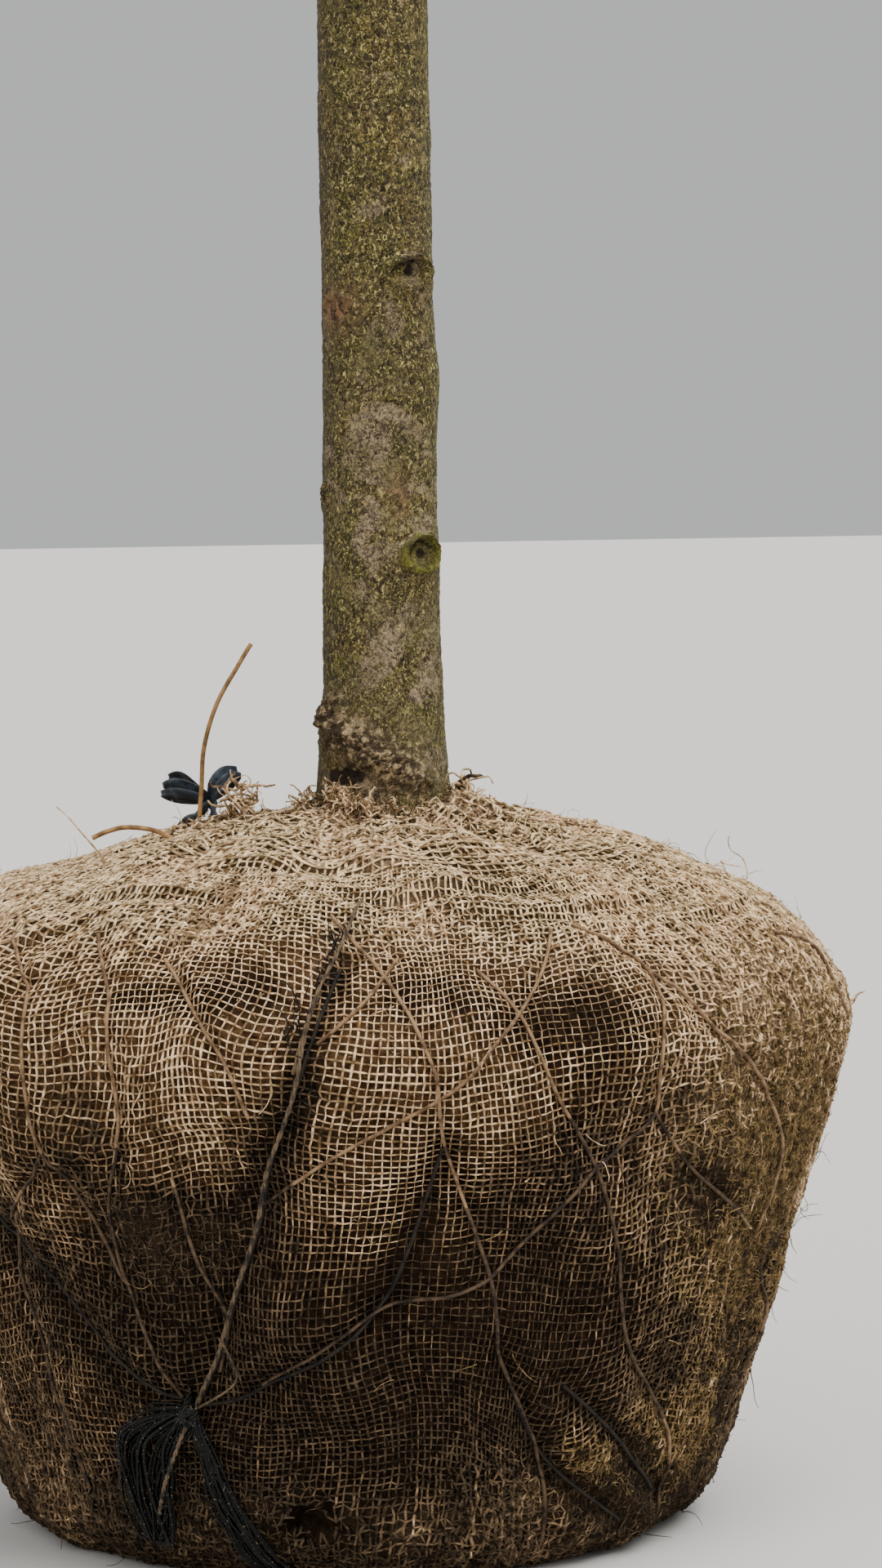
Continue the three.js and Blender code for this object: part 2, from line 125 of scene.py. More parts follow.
class Finish(Graph):  # a material and the nodes that make it
    def __init__(self, name, **plain):
        self.material = bpy.data.materials.new(name)
        self.material.use_nodes = True
        super().__init__(self.material.node_tree)
        self.place = self.node("ShaderNodeTexCoord", output="Object")
        self.shader = self.node("ShaderNodeBsdfPrincipled").socket.node
        output = self.tree.nodes.new("ShaderNodeOutputMaterial")
        self.tree.links.new(self.shader.outputs["BSDF"], output.inputs["Surface"])
        for socket, value in plain.items():
            self.shader.inputs[socket.replace("_", " ")].default_value = value

    def feed(self, socket, value):
        self.tree.links.new(value.socket, self.shader.inputs[socket])

    def noise(self, size, detail=2.0, roughness=0.5, distortion=0.0, place=None):
        inputs = {
            "Vector": place or self.place,
            "Scale": 1 / (size * mm),
            "Detail": detail,
            "Roughness": roughness,
            "Distortion": distortion,
        }
        return self.node("ShaderNodeTexNoise", inputs, "Fac")

    def stretched(self, across, along):  # object coordinates, drawn out up the stem
        return self.node("ShaderNodeMapping", {"Vector": self.place, "Scale": (across, across, along)})

    def attribute(self, name):
        return self.node("ShaderNodeAttribute", output="Fac", attribute_name=name)

    def mix(self, share, first, second):  # of values, or of colours as screen values
        first, second = [colour(*tint) if isinstance(tint, tuple) else tint for tint in (first, second)]
        inputs = {"Factor_Float": share, "A_Color": first, "B_Color": second}
        made = self.node("ShaderNodeMix", inputs, data_type="RGBA").socket.node
        return Value(self, next(socket for socket in made.outputs if socket.identifier == "Result_Color"))

    def bump(self, height, distance, strength=1.0):
        inputs = {"Height": height, "Distance": distance * mm, "Strength": strength}
        self.feed("Normal", self.node("ShaderNodeBump", inputs))


def newTree(name, sockets):
    tree = bpy.data.node_groups.new(name, "GeometryNodeTree")
    tree.interface.new_socket(name="Geometry", in_out="INPUT", socket_type="NodeSocketGeometry")
    for socketName, kind in sockets.items():
        tree.interface.new_socket(name=socketName, in_out="INPUT", socket_type="NodeSocket" + kind)
    tree.interface.new_socket(name="Geometry", in_out="OUTPUT", socket_type="NodeSocketGeometry")
    graph = Graph(tree)
    entry = tree.nodes.new("NodeGroupInput")
    return graph, {socket.name: Value(graph, socket) for socket in entry.outputs if socket.name}


def closeTree(graph, geometry, material):
    real = graph.node("GeometryNodeRealizeInstances", {"Geometry": geometry})
    painted = graph.node("GeometryNodeSetMaterial", {"Geometry": real, "Material": material})
    leave = graph.tree.nodes.new("NodeGroupOutput")
    graph.tree.links.new(painted.socket, leave.inputs[0])
    return graph.tree


def named(graph, name, kind="FLOAT"):
    return graph.node("GeometryNodeInputNamedAttribute", {"Name": name}, "Attribute", data_type=kind)


def makeTubeTree():  # a tube along each chain of edges, as thick as its points say
    graph, entry = newTree("tubesAlongPaths", {"Sides": "Int", "Material": "Material"})
    curve = graph.node("GeometryNodeMeshToCurve", {"Mesh": entry["Geometry"]})
    ring = {"Resolution": entry["Sides"], "Radius": 1.0}
    profile = graph.node("GeometryNodeCurvePrimitiveCircle", ring)
    tube = {"Curve": curve, "Profile Curve": profile, "Scale": named(graph, "thickness"), "Fill Caps": True}
    mesh = graph.node("GeometryNodeCurveToMesh", tube)
    mesh = graph.node("GeometryNodeSetShadeSmooth", {"Geometry": mesh})
    return closeTree(graph, mesh, entry["Material"])


def makeScatterTree():  # copies of small shapes over a surface, as thick as one of its attributes says
    sockets = {"Shapes": "Collection", "Where": "String", "Density": "Float", "Flattest": "Float",
               "Steepest": "Float", "Seed": "Int", "Material": "Material"}
    graph, entry = newTree("scatteredOver", sockets)
    density = entry["Density"] * named(graph, entry["Where"])
    spread = {"Mesh": entry["Geometry"], "Density": density, "Seed": entry["Seed"]}
    points = graph.node("GeometryNodeDistributePointsOnFaces", spread, "Points")

    def random(low, high, seed):
        limits = {"Min_001": low, "Max_001": high, "Seed": seed}
        return graph.node("FunctionNodeRandomValue", limits, 1, data_type="FLOAT")

    rotation = points.beside("Rotation")  # each is spun about the surface's normal, then tipped up
    spin = random(0.0, 6.28, 1)
    tip = random(entry["Flattest"], entry["Steepest"], 2)
    for axis, angle in (((0, 0, 1), spin), ((0, -1, 0), tip)):
        turn = graph.node("FunctionNodeAxisAngleToRotation", {"Axis": axis, "Angle": angle})
        parts = {"Rotation": rotation, "Rotate By": turn}
        rotation = graph.node("FunctionNodeRotateRotation", parts, rotation_space="LOCAL")
    group = {"Collection": entry["Shapes"], "Separate Children": True, "Reset Children": True}
    shapes = graph.node("GeometryNodeCollectionInfo", group, 0)
    copies = {
        "Points": points,
        "Instance": shapes,
        "Pick Instance": True,
        "Rotation": rotation,
        "Scale": random(0.6, 1.4, 3),
    }
    placed = graph.node("GeometryNodeInstanceOnPoints", copies)
    return closeTree(graph, placed, entry["Material"])


def makeBudTree():  # a bud on each point, as long as its "size" and along its "heading"
    graph, entry = newTree("budsOnPoints", {"Shape": "Object", "Material": "Material"})
    points = graph.node("GeometryNodeMeshToPoints", {"Mesh": entry["Geometry"]})
    heading = named(graph, "heading", "FLOAT_VECTOR")
    rotation = graph.node("FunctionNodeAlignRotationToVector", {"Vector": heading}, axis="Z")
    shape = graph.node("GeometryNodeObjectInfo", {"Object": entry["Shape"]}, "Geometry")
    copies = {"Points": points, "Instance": shape, "Rotation": rotation, "Scale": named(graph, "size")}
    placed = graph.node("GeometryNodeInstanceOnPoints", copies)
    return closeTree(graph, placed, entry["Material"])


# Meshes

def newObject(name, data):
    made = bpy.data.objects.new(name, data)
    bpy.context.scene.collection.objects.link(made)
    return made


def makeObject(name, points, faceGroups=(), edges=(), attributes=None, material=None):
    mesh = bpy.data.meshes.new(name)
    mesh.vertices.add(len(points))
    mesh.vertices.foreach_set("co", (np.asarray(points, float) * mm).ravel())
    if len(edges):
        mesh.edges.add(len(edges))
        mesh.edges.foreach_set("vertices", np.asarray(edges, np.int32).ravel())
    groups = [np.asarray(group, np.int32) for group in faceGroups if len(group)]
    if groups:
        corners = np.concatenate([group.ravel() for group in groups])
        sizes = np.concatenate([np.full(len(group), group.shape[1]) for group in groups])
        mesh.loops.add(len(corners))
        mesh.loops.foreach_set("vertex_index", corners)
        mesh.polygons.add(len(sizes))
        mesh.polygons.foreach_set("loop_start", np.concatenate([[0], np.cumsum(sizes)[:-1]]))
        mesh.polygons.foreach_set("loop_total", sizes)
        mesh.polygons.foreach_set("use_smooth", np.ones(len(sizes), bool))
    mesh.update(calc_edges=bool(groups))
    for attribute, values in (attributes or {}).items():
        values = np.asarray(values, np.float32)
        kind, field = ("FLOAT", "value") if values.ndim == 1 else ("FLOAT_VECTOR", "vector")
        mesh.attributes.new(attribute, kind, "POINT").data.foreach_set(field, values.ravel())
    if material:
        mesh.materials.append(material)
    return newObject(name, mesh)


def grown(name, source, tree, inputs):  # runs a node tree on a source and keeps the result as a plain mesh
    modifier = source.modifiers.new("grow", "NODES")
    modifier.node_group = tree
    for item in tree.interface.items_tree:
        if item.in_out == "INPUT" and item.name in inputs:
            modifier[item.identifier] = inputs[item.name]
    bpy.context.view_layer.update()
    layers = bpy.context.evaluated_depsgraph_get()
    evaluated = source.evaluated_get(layers)
    mesh = bpy.data.meshes.new_from_object(evaluated, preserve_all_data_layers=True, depsgraph=layers)
    mesh.name = name
    source.modifiers.remove(modifier)
    bpy.data.objects.remove(source)
    return newObject(name, mesh)


def ringFaces(rings, sides, closed=False):  # quads between rings of points, laid out ring after ring
    ring = np.arange(rings if closed else rings - 1)[:, None]
    side = np.arange(sides)[None, :]
    nextRing = (ring + 1) % rings
    nextSide = (side + 1) % sides
    lower, upper = ring * sides, nextRing * sides
    corners = [lower + side, lower + nextSide, upper + nextSide, upper + side]
    return np.stack(corners, -1).reshape(-1, 4)


def fan(centre, ring):  # triangles from a middle point to a ring of points
    return [[centre, a, b] for a, b in zip(ring, np.roll(ring, -1))]


def shellFaces(rings, sides):  # a closed skin of rings of points, then one point below and one above them
    below = fan(rings * sides, np.arange(sides)[::-1])
    above = fan(rings * sides + 1, np.arange(sides) + (rings - 1) * sides)
    return [ringFaces(rings, sides), below + above]


tubeTree = makeTubeTree()


def chain(points, radii, closed=False):
    return {"points": np.asarray(points, float), "radii": radii, "closed": closed}


def tubes(name, chains, sides, material):
    edges = []
    start = 0
    for one in chains:
        index = np.arange(start, start + len(one["points"]))
        pairs = np.stack([index, np.roll(index, -1)], 1)
        edges.append(pairs if one["closed"] else pairs[:-1])
        start += len(index)
    points = np.concatenate([one["points"] for one in chains])
    radii = np.concatenate([np.broadcast_to(one["radii"], len(one["points"])) for one in chains])
    thickness = {"thickness": radii * mm}
    source = makeObject(name + "_paths", points, edges=np.concatenate(edges), attributes=thickness)
    return grown(name, source, tubeTree, {"Sides": sides, "Material": material})


def curveWeights(t):  # of the four points about a place on a smooth curve, twice over
    return [-t + 2 * t * t - t ** 3, 2 - 5 * t * t + 3 * t ** 3, t + 4 * t * t - 3 * t ** 3, -t * t + t ** 3]


def extended(points):  # with one more point at each end
    return np.concatenate([[2 * points[0] - points[1]], points, [2 * points[-1] - points[-2]]])


def smoothPath(points, steps):  # an even number of steps between each two points of a route
    points = np.asarray(points, float)
    padded = extended(points)
    weights = curveWeights(np.arange(steps)[:, None] / steps)
    found = [sum(w * padded[i + k] for k, w in enumerate(weights)) / 2 for i in range(len(points) - 1)]
    return np.concatenate(found + [points[-1:]])


def unit(vectors):
    return vectors / np.maximum(np.linalg.norm(vectors, axis=-1, keepdims=True), 1e-9)


def addPiece(piece, slot, *nodes):
    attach(piece, "root")
    if nodes:
        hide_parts(*nodes)
    piece.data.calc_loop_triangles()
    print("piece", piece.name, len(piece.data.loop_triangles), "triangles")
    return piece


def onBearing(bearing, radius, height):
    angle = np.radians(bearing)
    return np.stack(np.broadcast_arrays(radius * np.sin(angle), -radius * np.cos(angle), height), -1)


def turnedFrom(bearing, place=0):  # degrees round from a place, from -180 to 180
    return (bearing - place + 180) % 360 - 180


def smoothStep(value, low, high):
    share = np.clip((value - low) / (high - low), 0, 1)
    return share * share * (3 - 2 * share)


def makeField(seed, size, count=16):  # smooth random hills of about this size all over the ball
    random = np.random.default_rng(seed)
    angle = random.uniform(0, 2 * math.pi, count)
    scale = random.uniform(0.7, 1.35, count)
    around = np.round(2 * math.pi * ball["radius"] / size * np.cos(angle) * scale)
    upward = 2 * math.pi / size * np.sin(angle) * scale
    phase = random.uniform(0, 2 * math.pi, count)

    def field(bearing, rise):
        turn = np.radians(bearing)
        total = sum(np.sin(a * turn + u * rise + p) for a, u, p in zip(around, upward, phase))
        return total * math.sqrt(2 / count)

    return field


# Root ball: the surface that the wrap follows

ball = {
    "radius": 368,
    "waistHeight": 390,
    "domeHeight": 172,
    "topHeight": 560,
    "footTaper": 0.26,
    "footTaperPower": 1.3,
    "footRounding": 40,
    "footShift": -26,
    "waistShift": -10,
    "waves": [(0.012, 3, 0.6, 160), (0.009, 5, -1.1, -95), (0.006, 9, 0, 60)],
    "shoulder": {"share": 0.075, "bearing": -85, "height": 480, "wide": 50, "tall": 130},
    "neck": [(146, 548), (128, 551.5), (106, 555), (84, 557.5), (68, 558.5), (56, 556), (46, 549)],
}


def drumRadius(height):
    below = (ball["waistHeight"] - height) / ball["waistHeight"]
    rounding = np.clip(1 - height / ball["footRounding"], 0, 1)
    corner = ball["footRounding"] * (1 - np.sqrt(np.clip(1 - rounding * rounding, 0, 1)))
    return ball["radius"] * (1 - ball["footTaper"] * below ** ball["footTaperPower"]) - corner


def domeRadius(height):
    above = (height - ball["waistHeight"]) / ball["domeHeight"]
    return ball["radius"] * np.sqrt(np.clip(1 - above * above, 0, 1))


def ballSwell(bearing, height):
    turn = np.radians(bearing)
    swell = sum(share * np.sin(count * turn + start + height / climb)
                for share, count, start, climb in ball["waves"])
    full = ball["shoulder"]
    aside = turnedFrom(bearing, full["bearing"]) / full["wide"]
    return swell + full["share"] * np.exp(-aside ** 2 - ((height - full["height"]) / full["tall"]) ** 2)


def ballShift(height):
    below = np.clip(1 - height / ball["waistHeight"], 0, 1)
    above = np.clip((height - ball["waistHeight"]) / ball["domeHeight"], 0, 1)
    return ball["footShift"] * below + ball["waistShift"] * (1 - below - above * above)


def makeProfile():  # from the foot's edge up the drum and over the dome to the stem
    drumHeights = np.concatenate([np.linspace(0, ball["footRounding"], 14), np.linspace(48, 385, 58)])
    shares = np.sin(np.linspace(0, 1.18, 60))
    domeHeights = ball["waistHeight"] + ball["domeHeight"] * shares[shares < 0.91]
    radii = np.concatenate([drumRadius(drumHeights), domeRadius(domeHeights), [r for r, z in ball["neck"]]])
    heights = np.concatenate([drumHeights, domeHeights, [z for r, z in ball["neck"]]])
    steps = np.hypot(np.diff(radii), np.diff(heights))
    rise = np.concatenate([[0], np.cumsum(steps)])
    return radii, heights, rise


profileRadii, profileHeights, profileRise = makeProfile()
wholeRise = profileRise[-1]  # a place's rise is the way up the profile to it, along the surface


def radiusAt(rise):
    return np.interp(rise, profileRise, profileRadii)


def heightAt(rise):
    return np.interp(rise, profileRise, profileHeights)


def riseAt(height):  # the way up the profile to a height on the drum or the dome
    top = np.argmax(profileHeights)
    return np.interp(height, profileHeights[:top], profileRise[:top])


# Wires and cords on the front third, as bearing and height; the same net goes on round the ball.
netWires = [
    [(-6, 496), (1.5, 464), (7, 398), (9, 338), (15.5, 238), (18.5, 174), (27, 90), (30, 20)],
    [(13.5, 464), (18, 432), (22, 376), (28.5, 314), (33.5, 244), (38.5, 166), (52, 90), (56, 20)],
    [(-38, 482), (-32.5, 450), (-31, 422), (-29.5, 352), (-34, 268), (-30, 200), (-26, 140)],
    [(-52, 478), (-44.5, 450), (-43, 422), (-42.5, 388), (-42, 326), (-34.5, 244), (-32, 226)],
    [(3.5, 474), (-1.5, 440), (-6, 416)],
    [(30, 492), (38, 458), (36.5, 390), (37, 350), (33.5, 330), (28.5, 314)],
    [(38, 458), (42, 438), (45.5, 410), (55, 362), (62, 300), (60, 220)],
    [(26, 488), (22.5, 462), (18, 432), (14, 408), (8.5, 374), (-4, 330), (-12.5, 290)],
    [(-42, 326), (-50, 280), (-54, 230), (-50, 150), (-46, 60)],
    [(-23.5, 312), (-21, 256), (-18, 208), (-20, 160)],
    [(28.5, 314), (15.5, 238), (3, 212), (-14, 150)],
    [(37, 350), (45, 300), (58, 250)],
    [(-27, 470), (-23.8, 455), (-19.5, 425), (-16, 396), (-13.5, 360)],
]
netRepeats = {"turns": (0, 124, 238), "sideways": 3.5, "upward": 7, "seed": 71}
netWire = {"radius": 1.5, "proud": 3.2}
mmPerDegree = 6.5  # round the ball
cord = {"radius": 1.5, "proud": 2.6}
valleys = [  # where the cords have sunk in
    [(-60, 275), (-54.5, 256), (-46, 224), (-37, 172), (-29.5, 146), (-23.5, 134)],
    [(-23.5, 134), (-15.5, 144), (-2.5, 186), (2.5, 216), (5, 254), (9, 330)],
    [(-4, 470), (-6, 432), (-8.5, 374), (-11.5, 320), (-13.5, 266), (-18.5, 188), (-23.5, 134)],
    [(18.5, 174), (28, 88), (45.5, 26)],
    [(28.5, 146), (40, 96), (52.5, 46)],
]


def alongRoute(route, step=6.0):  # even steps of bearing and rise on a smooth curve through a route's points
    bearings, heights = np.array(route, float).T
    rises = riseAt(heights)
    padded = [extended(bearings), extended(rises)]
    found = []
    for i in range(len(bearings) - 1):
        gap = math.hypot((bearings[i + 1] - bearings[i]) * mmPerDegree, rises[i + 1] - rises[i])
        for t in np.linspace(0, 1, max(2, int(gap / step)), endpoint=False):
            weights = np.array(curveWeights(t)) / 2
            found.append([weights @ values[i:i + 4] for values in padded])
    return np.array(found + [[bearings[-1], rises[-1]]])


def layNet():
    random = np.random.default_rng(netRepeats["seed"])
    routes = []
    for turn in netRepeats["turns"]:
        for wire in netWires:
            play = 0 if turn == 0 else 1
            moved = [(bearing + turn + play * random.normal(0, netRepeats["sideways"]),
                      np.clip(height + play * random.normal(0, netRepeats["upward"]), 14, 500))
                     for bearing, height in wire]
            routes.append(alongRoute(moved))
    return routes


netRoutes = layNet()
valleyRoutes = [alongRoute(route) for route in valleys]
for route in valleys:  # and the same behind
    valleyRoutes.append(alongRoute([(bearing + 165, height) for bearing, height in route]))


def flatten(bearing, rise):  # places the ball's surface on a plane, for distances along it
    return np.stack([np.radians(bearing) * radiusAt(rise), rise], -1)


def nearness(bearing, rise, routes, width):  # 1 on a route, falling to 0 beside it
    spots = [flatten(route[:, 0] + shift, route[:, 1]) for route in routes for shift in (-360, 0, 360)]
    spots = np.concatenate(spots)
    tree = kdtree.KDTree(len(spots))
    for i, (x, y) in enumerate(spots):
        tree.insert((x, y, 0), i)
    tree.balance()
    flat = flatten(turnedFrom(np.asarray(bearing)).ravel(), np.asarray(rise).ravel())
    distance = np.array([tree.find((x, y, 0))[2] for x, y in flat])
    return np.exp(-(distance / width) ** 2).reshape(np.shape(bearing))


lumpField = makeField(11, 130)
dentField = makeField(12, 38)
creaseField = makeField(13, 190)
folds = {  # in millimetres
    "lumps": 2.2,
    "dents": 0.5,
    "sunk": 2,
    "wires": 4.2,
    "cords": 9,
    "pleats": 17,  # round the neck
    "pleatDepth": 3.2,
    "pleatPlay": 2.2,
    "flap": 7,  # where one layer of cloth ends over another
    "flapHeight": 300,
}
creases = [  # short folds over the shoulder: bearing, height, how wide, how deep, and how steeply they climb
    (10, 512, 20, 4.5, 0), (-36, 506, 16, 4, 0), (34, 498, 12, 4, 0), (-12, 528, 24, 3, 0),
    (62, 486, 12, 4, 0), (-49, 470, 9, 3.4, 4.2), (-45, 447, 8, 3.4, 5.6), (-19.5, 428, 5, 3, -9),
]
bulges = [(-92, 490, 40, 48, 15), (78, 566, 44, 30, 17)]  # fuller places: bearing, height, widths, how far


def bulgeRise(level):  # a level over the dome's top lies on the neck, next to the stem
    return riseAt(level) if level < ball["topHeight"] else wholeRise - 20


def wrapRelief(bearing, rise, wires, cords):
    turned = turnedFrom(bearing)
    relief = folds["lumps"] * lumpField(bearing, rise) + folds["dents"] * dentField(bearing, rise)
    relief -= folds["sunk"]
    edge = folds["flapHeight"] + 60 * np.exp(-((turned + 12) / 26) ** 2)
    flap = smoothStep(turned, -70, -46) * (1 - smoothStep(turned, -12, 2))
    relief += flap * (folds["flap"] * smoothStep(heightAt(rise), edge - 9, edge + 3) - folds["flap"] / 2)
    neck = smoothStep(rise, wholeRise - 190, wholeRise - 70)
    pleats = np.sin(np.radians(bearing) * folds["pleats"] + folds["pleatPlay"] * creaseField(bearing, rise))
    relief = relief * (1 - 0.5 * neck) + folds["pleatDepth"] * neck * pleats
    for place, level, wide, deep, climb in creases:
        aside = turned - place
        across = (rise - riseAt(level) - climb * aside - 5 * np.sin(aside / 7)) / 8
        relief += deep * np.exp(-(aside / wide) ** 2) * (np.exp(-(across - 1.5) ** 2) - np.exp(-across ** 2))
    for place, level, wide, tall, far in bulges:
        relief += far * np.exp(-((turned - place) / wide) ** 2 - ((rise - bulgeRise(level)) / tall) ** 2)
    return smoothStep(rise, 0, 40) * (relief - folds["wires"] * wires - folds["cords"] * cords)


def facing(rise):  # how far outward and how far upward the wrap faces
    outward = np.interp(rise, profileRise, np.gradient(profileHeights, profileRise))
    upward = -np.interp(rise, profileRise, np.gradient(profileRadii, profileRise))
    steep = np.hypot(upward, outward)
    return outward / steep, upward / steep


def outOf(bearing, rise):  # straight out of the wrap
    return onBearing(bearing, *facing(rise))


def onWrap(bearing, rise, relief=0.0, proud=0.0):
    radius, height = radiusAt(rise), heightAt(rise)
    outward, upward = facing(rise)
    lift = relief + proud
    swell = smoothStep(radius, 60, 150) * ballSwell(bearing, height)
    points = onBearing(bearing, radius * (1 + swell) + outward * lift, height + upward * lift)
    points[..., 0] += ballShift(height)
    return points


# How the cloth has weathered, in patches: bearing, height, how wide and how tall
# open patches thin the threads and sink the soil; the ball's finish also paints that soil darker, as painted
# shade in the deep holes
openPatches = [
    (7, 452, 8, 24), (25, 420, 13, 34), (5, 280, 10, 70), (22, 190, 16, 70), (-17, 452, 7, 22),
    (-28, 446, 7, 14),
]
mattedPatches = [(-26, 268, 17, 52), (62, 260, 24, 190), (74, 420, 40, 120), (0, 20, 60, 40)]
ochrePatches = [(64, 260, 27, 190), (62, 50, 20, 70), (-24, 262, 12, 40), (38, 84, 13, 40)]
dampPatches = [  # as the patches above, and how much damper, or drier below 0
    (-22, 275, 13, 50, 0.55), (26, 330, 9, 60, 0.4), (2, 300, 10, 55, -0.55), (66, 240, 24, 200, -0.4),
    (-62, 120, 20, 130, -0.4), (28, 425, 9, 22, 0.42), (54, 335, 9, 50, 0.3), (-46, 330, 8, 30, 0.25),
    # the drier patch low on the right front, at bearing 32 and height 84, lightens the cloth there: partly
    # painted light thrown up from the floor
    (32, 84, 18, 44, -0.66), (-34, 425, 10, 30, -0.2), (41, 366, 13, 40, 0.4), (-16, 452, 5, 16, 0.36),
    (-40, 110, 14, 60, -0.12), (-50, 380, 5, 26, 0.35),
]
patchField = makeField(21, 150)
fineField = makeField(22, 55)
mottleField = makeField(23, 30)


def patches(places, turned, height):
    return sum(np.exp(-((turned - bearing) / wide) ** 2 - ((height - level) / tall) ** 2)
               for bearing, level, wide, tall in places)


def weathering(bearing, rise, cords):
    height = heightAt(rise)
    turned = turnedFrom(bearing)
    behind = smoothStep(np.abs(turned), 70, 100)
    front = 1 - behind
    top = smoothStep(rise, riseAt(448), riseAt(500))
    foot = 1 - smoothStep(height, 40, 130)
    wide, fine = patchField(bearing, rise), fineField(bearing, rise)
    holes = patches(openPatches, turned, height)
    matting = np.maximum(top, 0.75 * foot) + patches(mattedPatches, turned, height) * front
    matting += 0.16 * wide + 0.1 * fine
    matting += behind * 0.28 * patchField(bearing + 40, rise) - 0.9 * holes
    damp = 1 - smoothStep(height, 150, 455)
    for *place, amount in dampPatches:
        damp += amount * patches([place], turned, height)
    damp += 0.12 * wide + 0.06 * fine + 0.6 * cords
    ochre = patches(ochrePatches, turned, height) * front + behind * 0.3
    dust = top * np.clip(0.75 + 0.3 * patchField(bearing - 20, rise), 0, 1)
    looks = {"matting": matting, "damp": damp, "ochre": ochre, "dust": dust, "open": holes * front}
    return {name: np.clip(values, 0, 1) for name, values in looks.items()}


# Tones of the wrap's fibre: the darkest and the palest of each
tones = {
    "dusty": ((100, 76, 46), (250, 221, 176)),
    "dry": ((118, 89, 57), (250, 217, 174)),
    "golden": ((44, 32, 15), (166, 138, 94)),
    "faded": ((90, 68, 44), (172, 144, 110)),
    "damp": ((44, 32, 20), (128, 106, 80)),
    "wet": ((19, 13, 8), (92, 76, 57)),
}
toneNames = list(tones)
dampLevels = (0.32, 0.56, 0.78)  # from which the cloth is faded, damp and wet
noTone = -1


def toneOf(weather, play=0.0):  # which tone the cloth has at each place
    dusty, dry, golden, faded, damp, wet = range(len(toneNames))
    level = weather["damp"] + play
    tone = np.array([dry, faded, damp, wet])[np.searchsorted(dampLevels, level, side="right")]
    tone = np.where((tone == dry) & (weather["dust"] + play > 0.5), dusty, tone)
    return np.where((weather["ochre"] + 2 * play > 0.55) & (level < 0.75) & (tone > dusty), golden, tone)


surfaces = {
    # the mottling's size, detail and roughness, its levels, the same of the grain, its depth, and the shine
    "thread": ((7, 3, 0.65), (0.3, 0.72), (1.2, 2, 0.6, 0.6), (0.5, 0.7), 0.12),
    "wire": ((9, 3, 0.6), (0.35, 0.65), (1.6, 2, 0.6), (0.4, 0.6), 0.3),
    "ribbon": ((16, 3, 0.6), (0.4, 0.7), (5, 2, 0.5), (0.8, 0.6), 0.4),
    "twig": ((12, 3, 0.65), (0.35, 0.65), (4, 3, 0.6), (0.6, 0.7), 0.35),
}


def makePlainFinish(name, kind, rough, low, high):  # mottled between two colours
    mottling, levels, grain, depth, shine = surfaces[kind]
    finish = Finish(name, Roughness=rough, Specular_IOR_Level=shine)
    finish.feed("Base Color", finish.mix(finish.noise(*mottling).rising(*levels), low, high))
    finish.bump(finish.noise(*grain), *depth)
    return finish.material


def makeBallFinish():
    # soil that shows through the open weave, and felted fibre where the weave is matted
    finish = Finish("soilAndFelt", Roughness=1.0, Specular_IOR_Level=0.1)
    damp = finish.attribute("damp")
    crumbs = finish.noise(7, 5, 0.65).rising(0.3, 0.72)
    dryInside = finish.mix(crumbs, (40, 24, 11), (112, 84, 56))
    wetAndShadedInside = finish.mix(crumbs, (15, 8, 3), (50, 35, 22))
    # where the cloth is most open the soil is also painted darker: painted shade in the deep open holes, on
    # top of the real damp
    inside = finish.mix((damp + finish.attribute("open") * 0.8).rising(0.1, 0.8), dryInside, wetAndShadedInside)
    ridges = 1 - (finish.noise(3.6, 3, 0.55, 1.6) - 0.5).size().rising(0.0, 0.08)
    tint = (ridges * 0.5 + finish.noise(15, 3, 0.6) * 0.8 - 0.15).rising(0.1, 0.95)
    felts = {
        "dry": ((100, 76, 50), (206, 180, 148)),
        "golden": ((66, 48, 27), (158, 132, 98)),
        # the felt under the dusty top is darker than the threads over it: painted shade in the pores between
        # them
        "dusty": ((46, 32, 17), (142, 114, 78)),
        "wet": ((22, 15, 9), (84, 66, 46)),
    }
    felts = {name: finish.mix(tint, *tints) for name, tints in felts.items()}
    felt = finish.mix(finish.attribute("ochre"), felts["dry"], felts["golden"])
    felt = finish.mix(finish.attribute("dust"), felt, felts["dusty"])
    felt = finish.mix(damp.rising(0.2, 0.85), felt, felts["wet"])
    pores = finish.noise(3.6, 3, 0.6, 0.8)
    closed = finish.attribute("matting").rising(0.2, 0.85)
    share = closed * (pores + closed * 0.07).rising(0.45, 0.54)
    finish.feed("Base Color", finish.mix(share, inside, felt))
    finish.bump(ridges * closed + crumbs * 0.8 + pores * closed, 1.8, 0.9)
    return finish.material


def makeTwineFinish():
    finish = Finish("blackTwine", Roughness=0.35, Specular_IOR_Level=0.2)
    dirt = finish.noise(10, 4, 0.65).rising(0.55, 0.75)
    # pale specks on the black strands stand for glints on their gloss: painted highlight
    glintSpecks = finish.noise(1.7, 2, 0.5).rising(0.66, 0.7)
    strand = finish.mix(dirt * 0.4, (4, 5, 5), (54, 46, 34))
    finish.feed("Base Color", finish.mix(glintSpecks * 0.6, strand, (150, 142, 120)))
    finish.feed("Roughness", dirt * 0.5 + 0.24)
    finish.bump(finish.noise(2.4, 3, 0.6), 0.9, 0.9)
    return finish.material


# Root ball pieces

ballMesh = {"around": 420, "up": 170, "openDepth": 4.2, "feltDepth": 0.6}
tornHole = {"bearing": -7.5, "height": 48, "wide": 20, "tall": 14, "depth": 17}


def inHole(bearing, rise):  # over 1 outside the torn hole
    across = turnedFrom(bearing, tornHole["bearing"]) * 5.2 / tornHole["wide"]
    up = (heightAt(rise) - tornHole["height"]) / tornHole["tall"]
    edge = 1 + 0.2 * np.sin(5 * np.arctan2(up, across)) + 0.12 * mottleField(bearing, rise)
    return np.hypot(across, up) * edge


def surfaceAt(bearing, rise):
    wires = nearness(bearing, rise, netRoutes, 8)
    cords = nearness(bearing, rise, valleyRoutes, 15)
    return wrapRelief(bearing, rise, wires, cords), weathering(bearing, rise, cords)


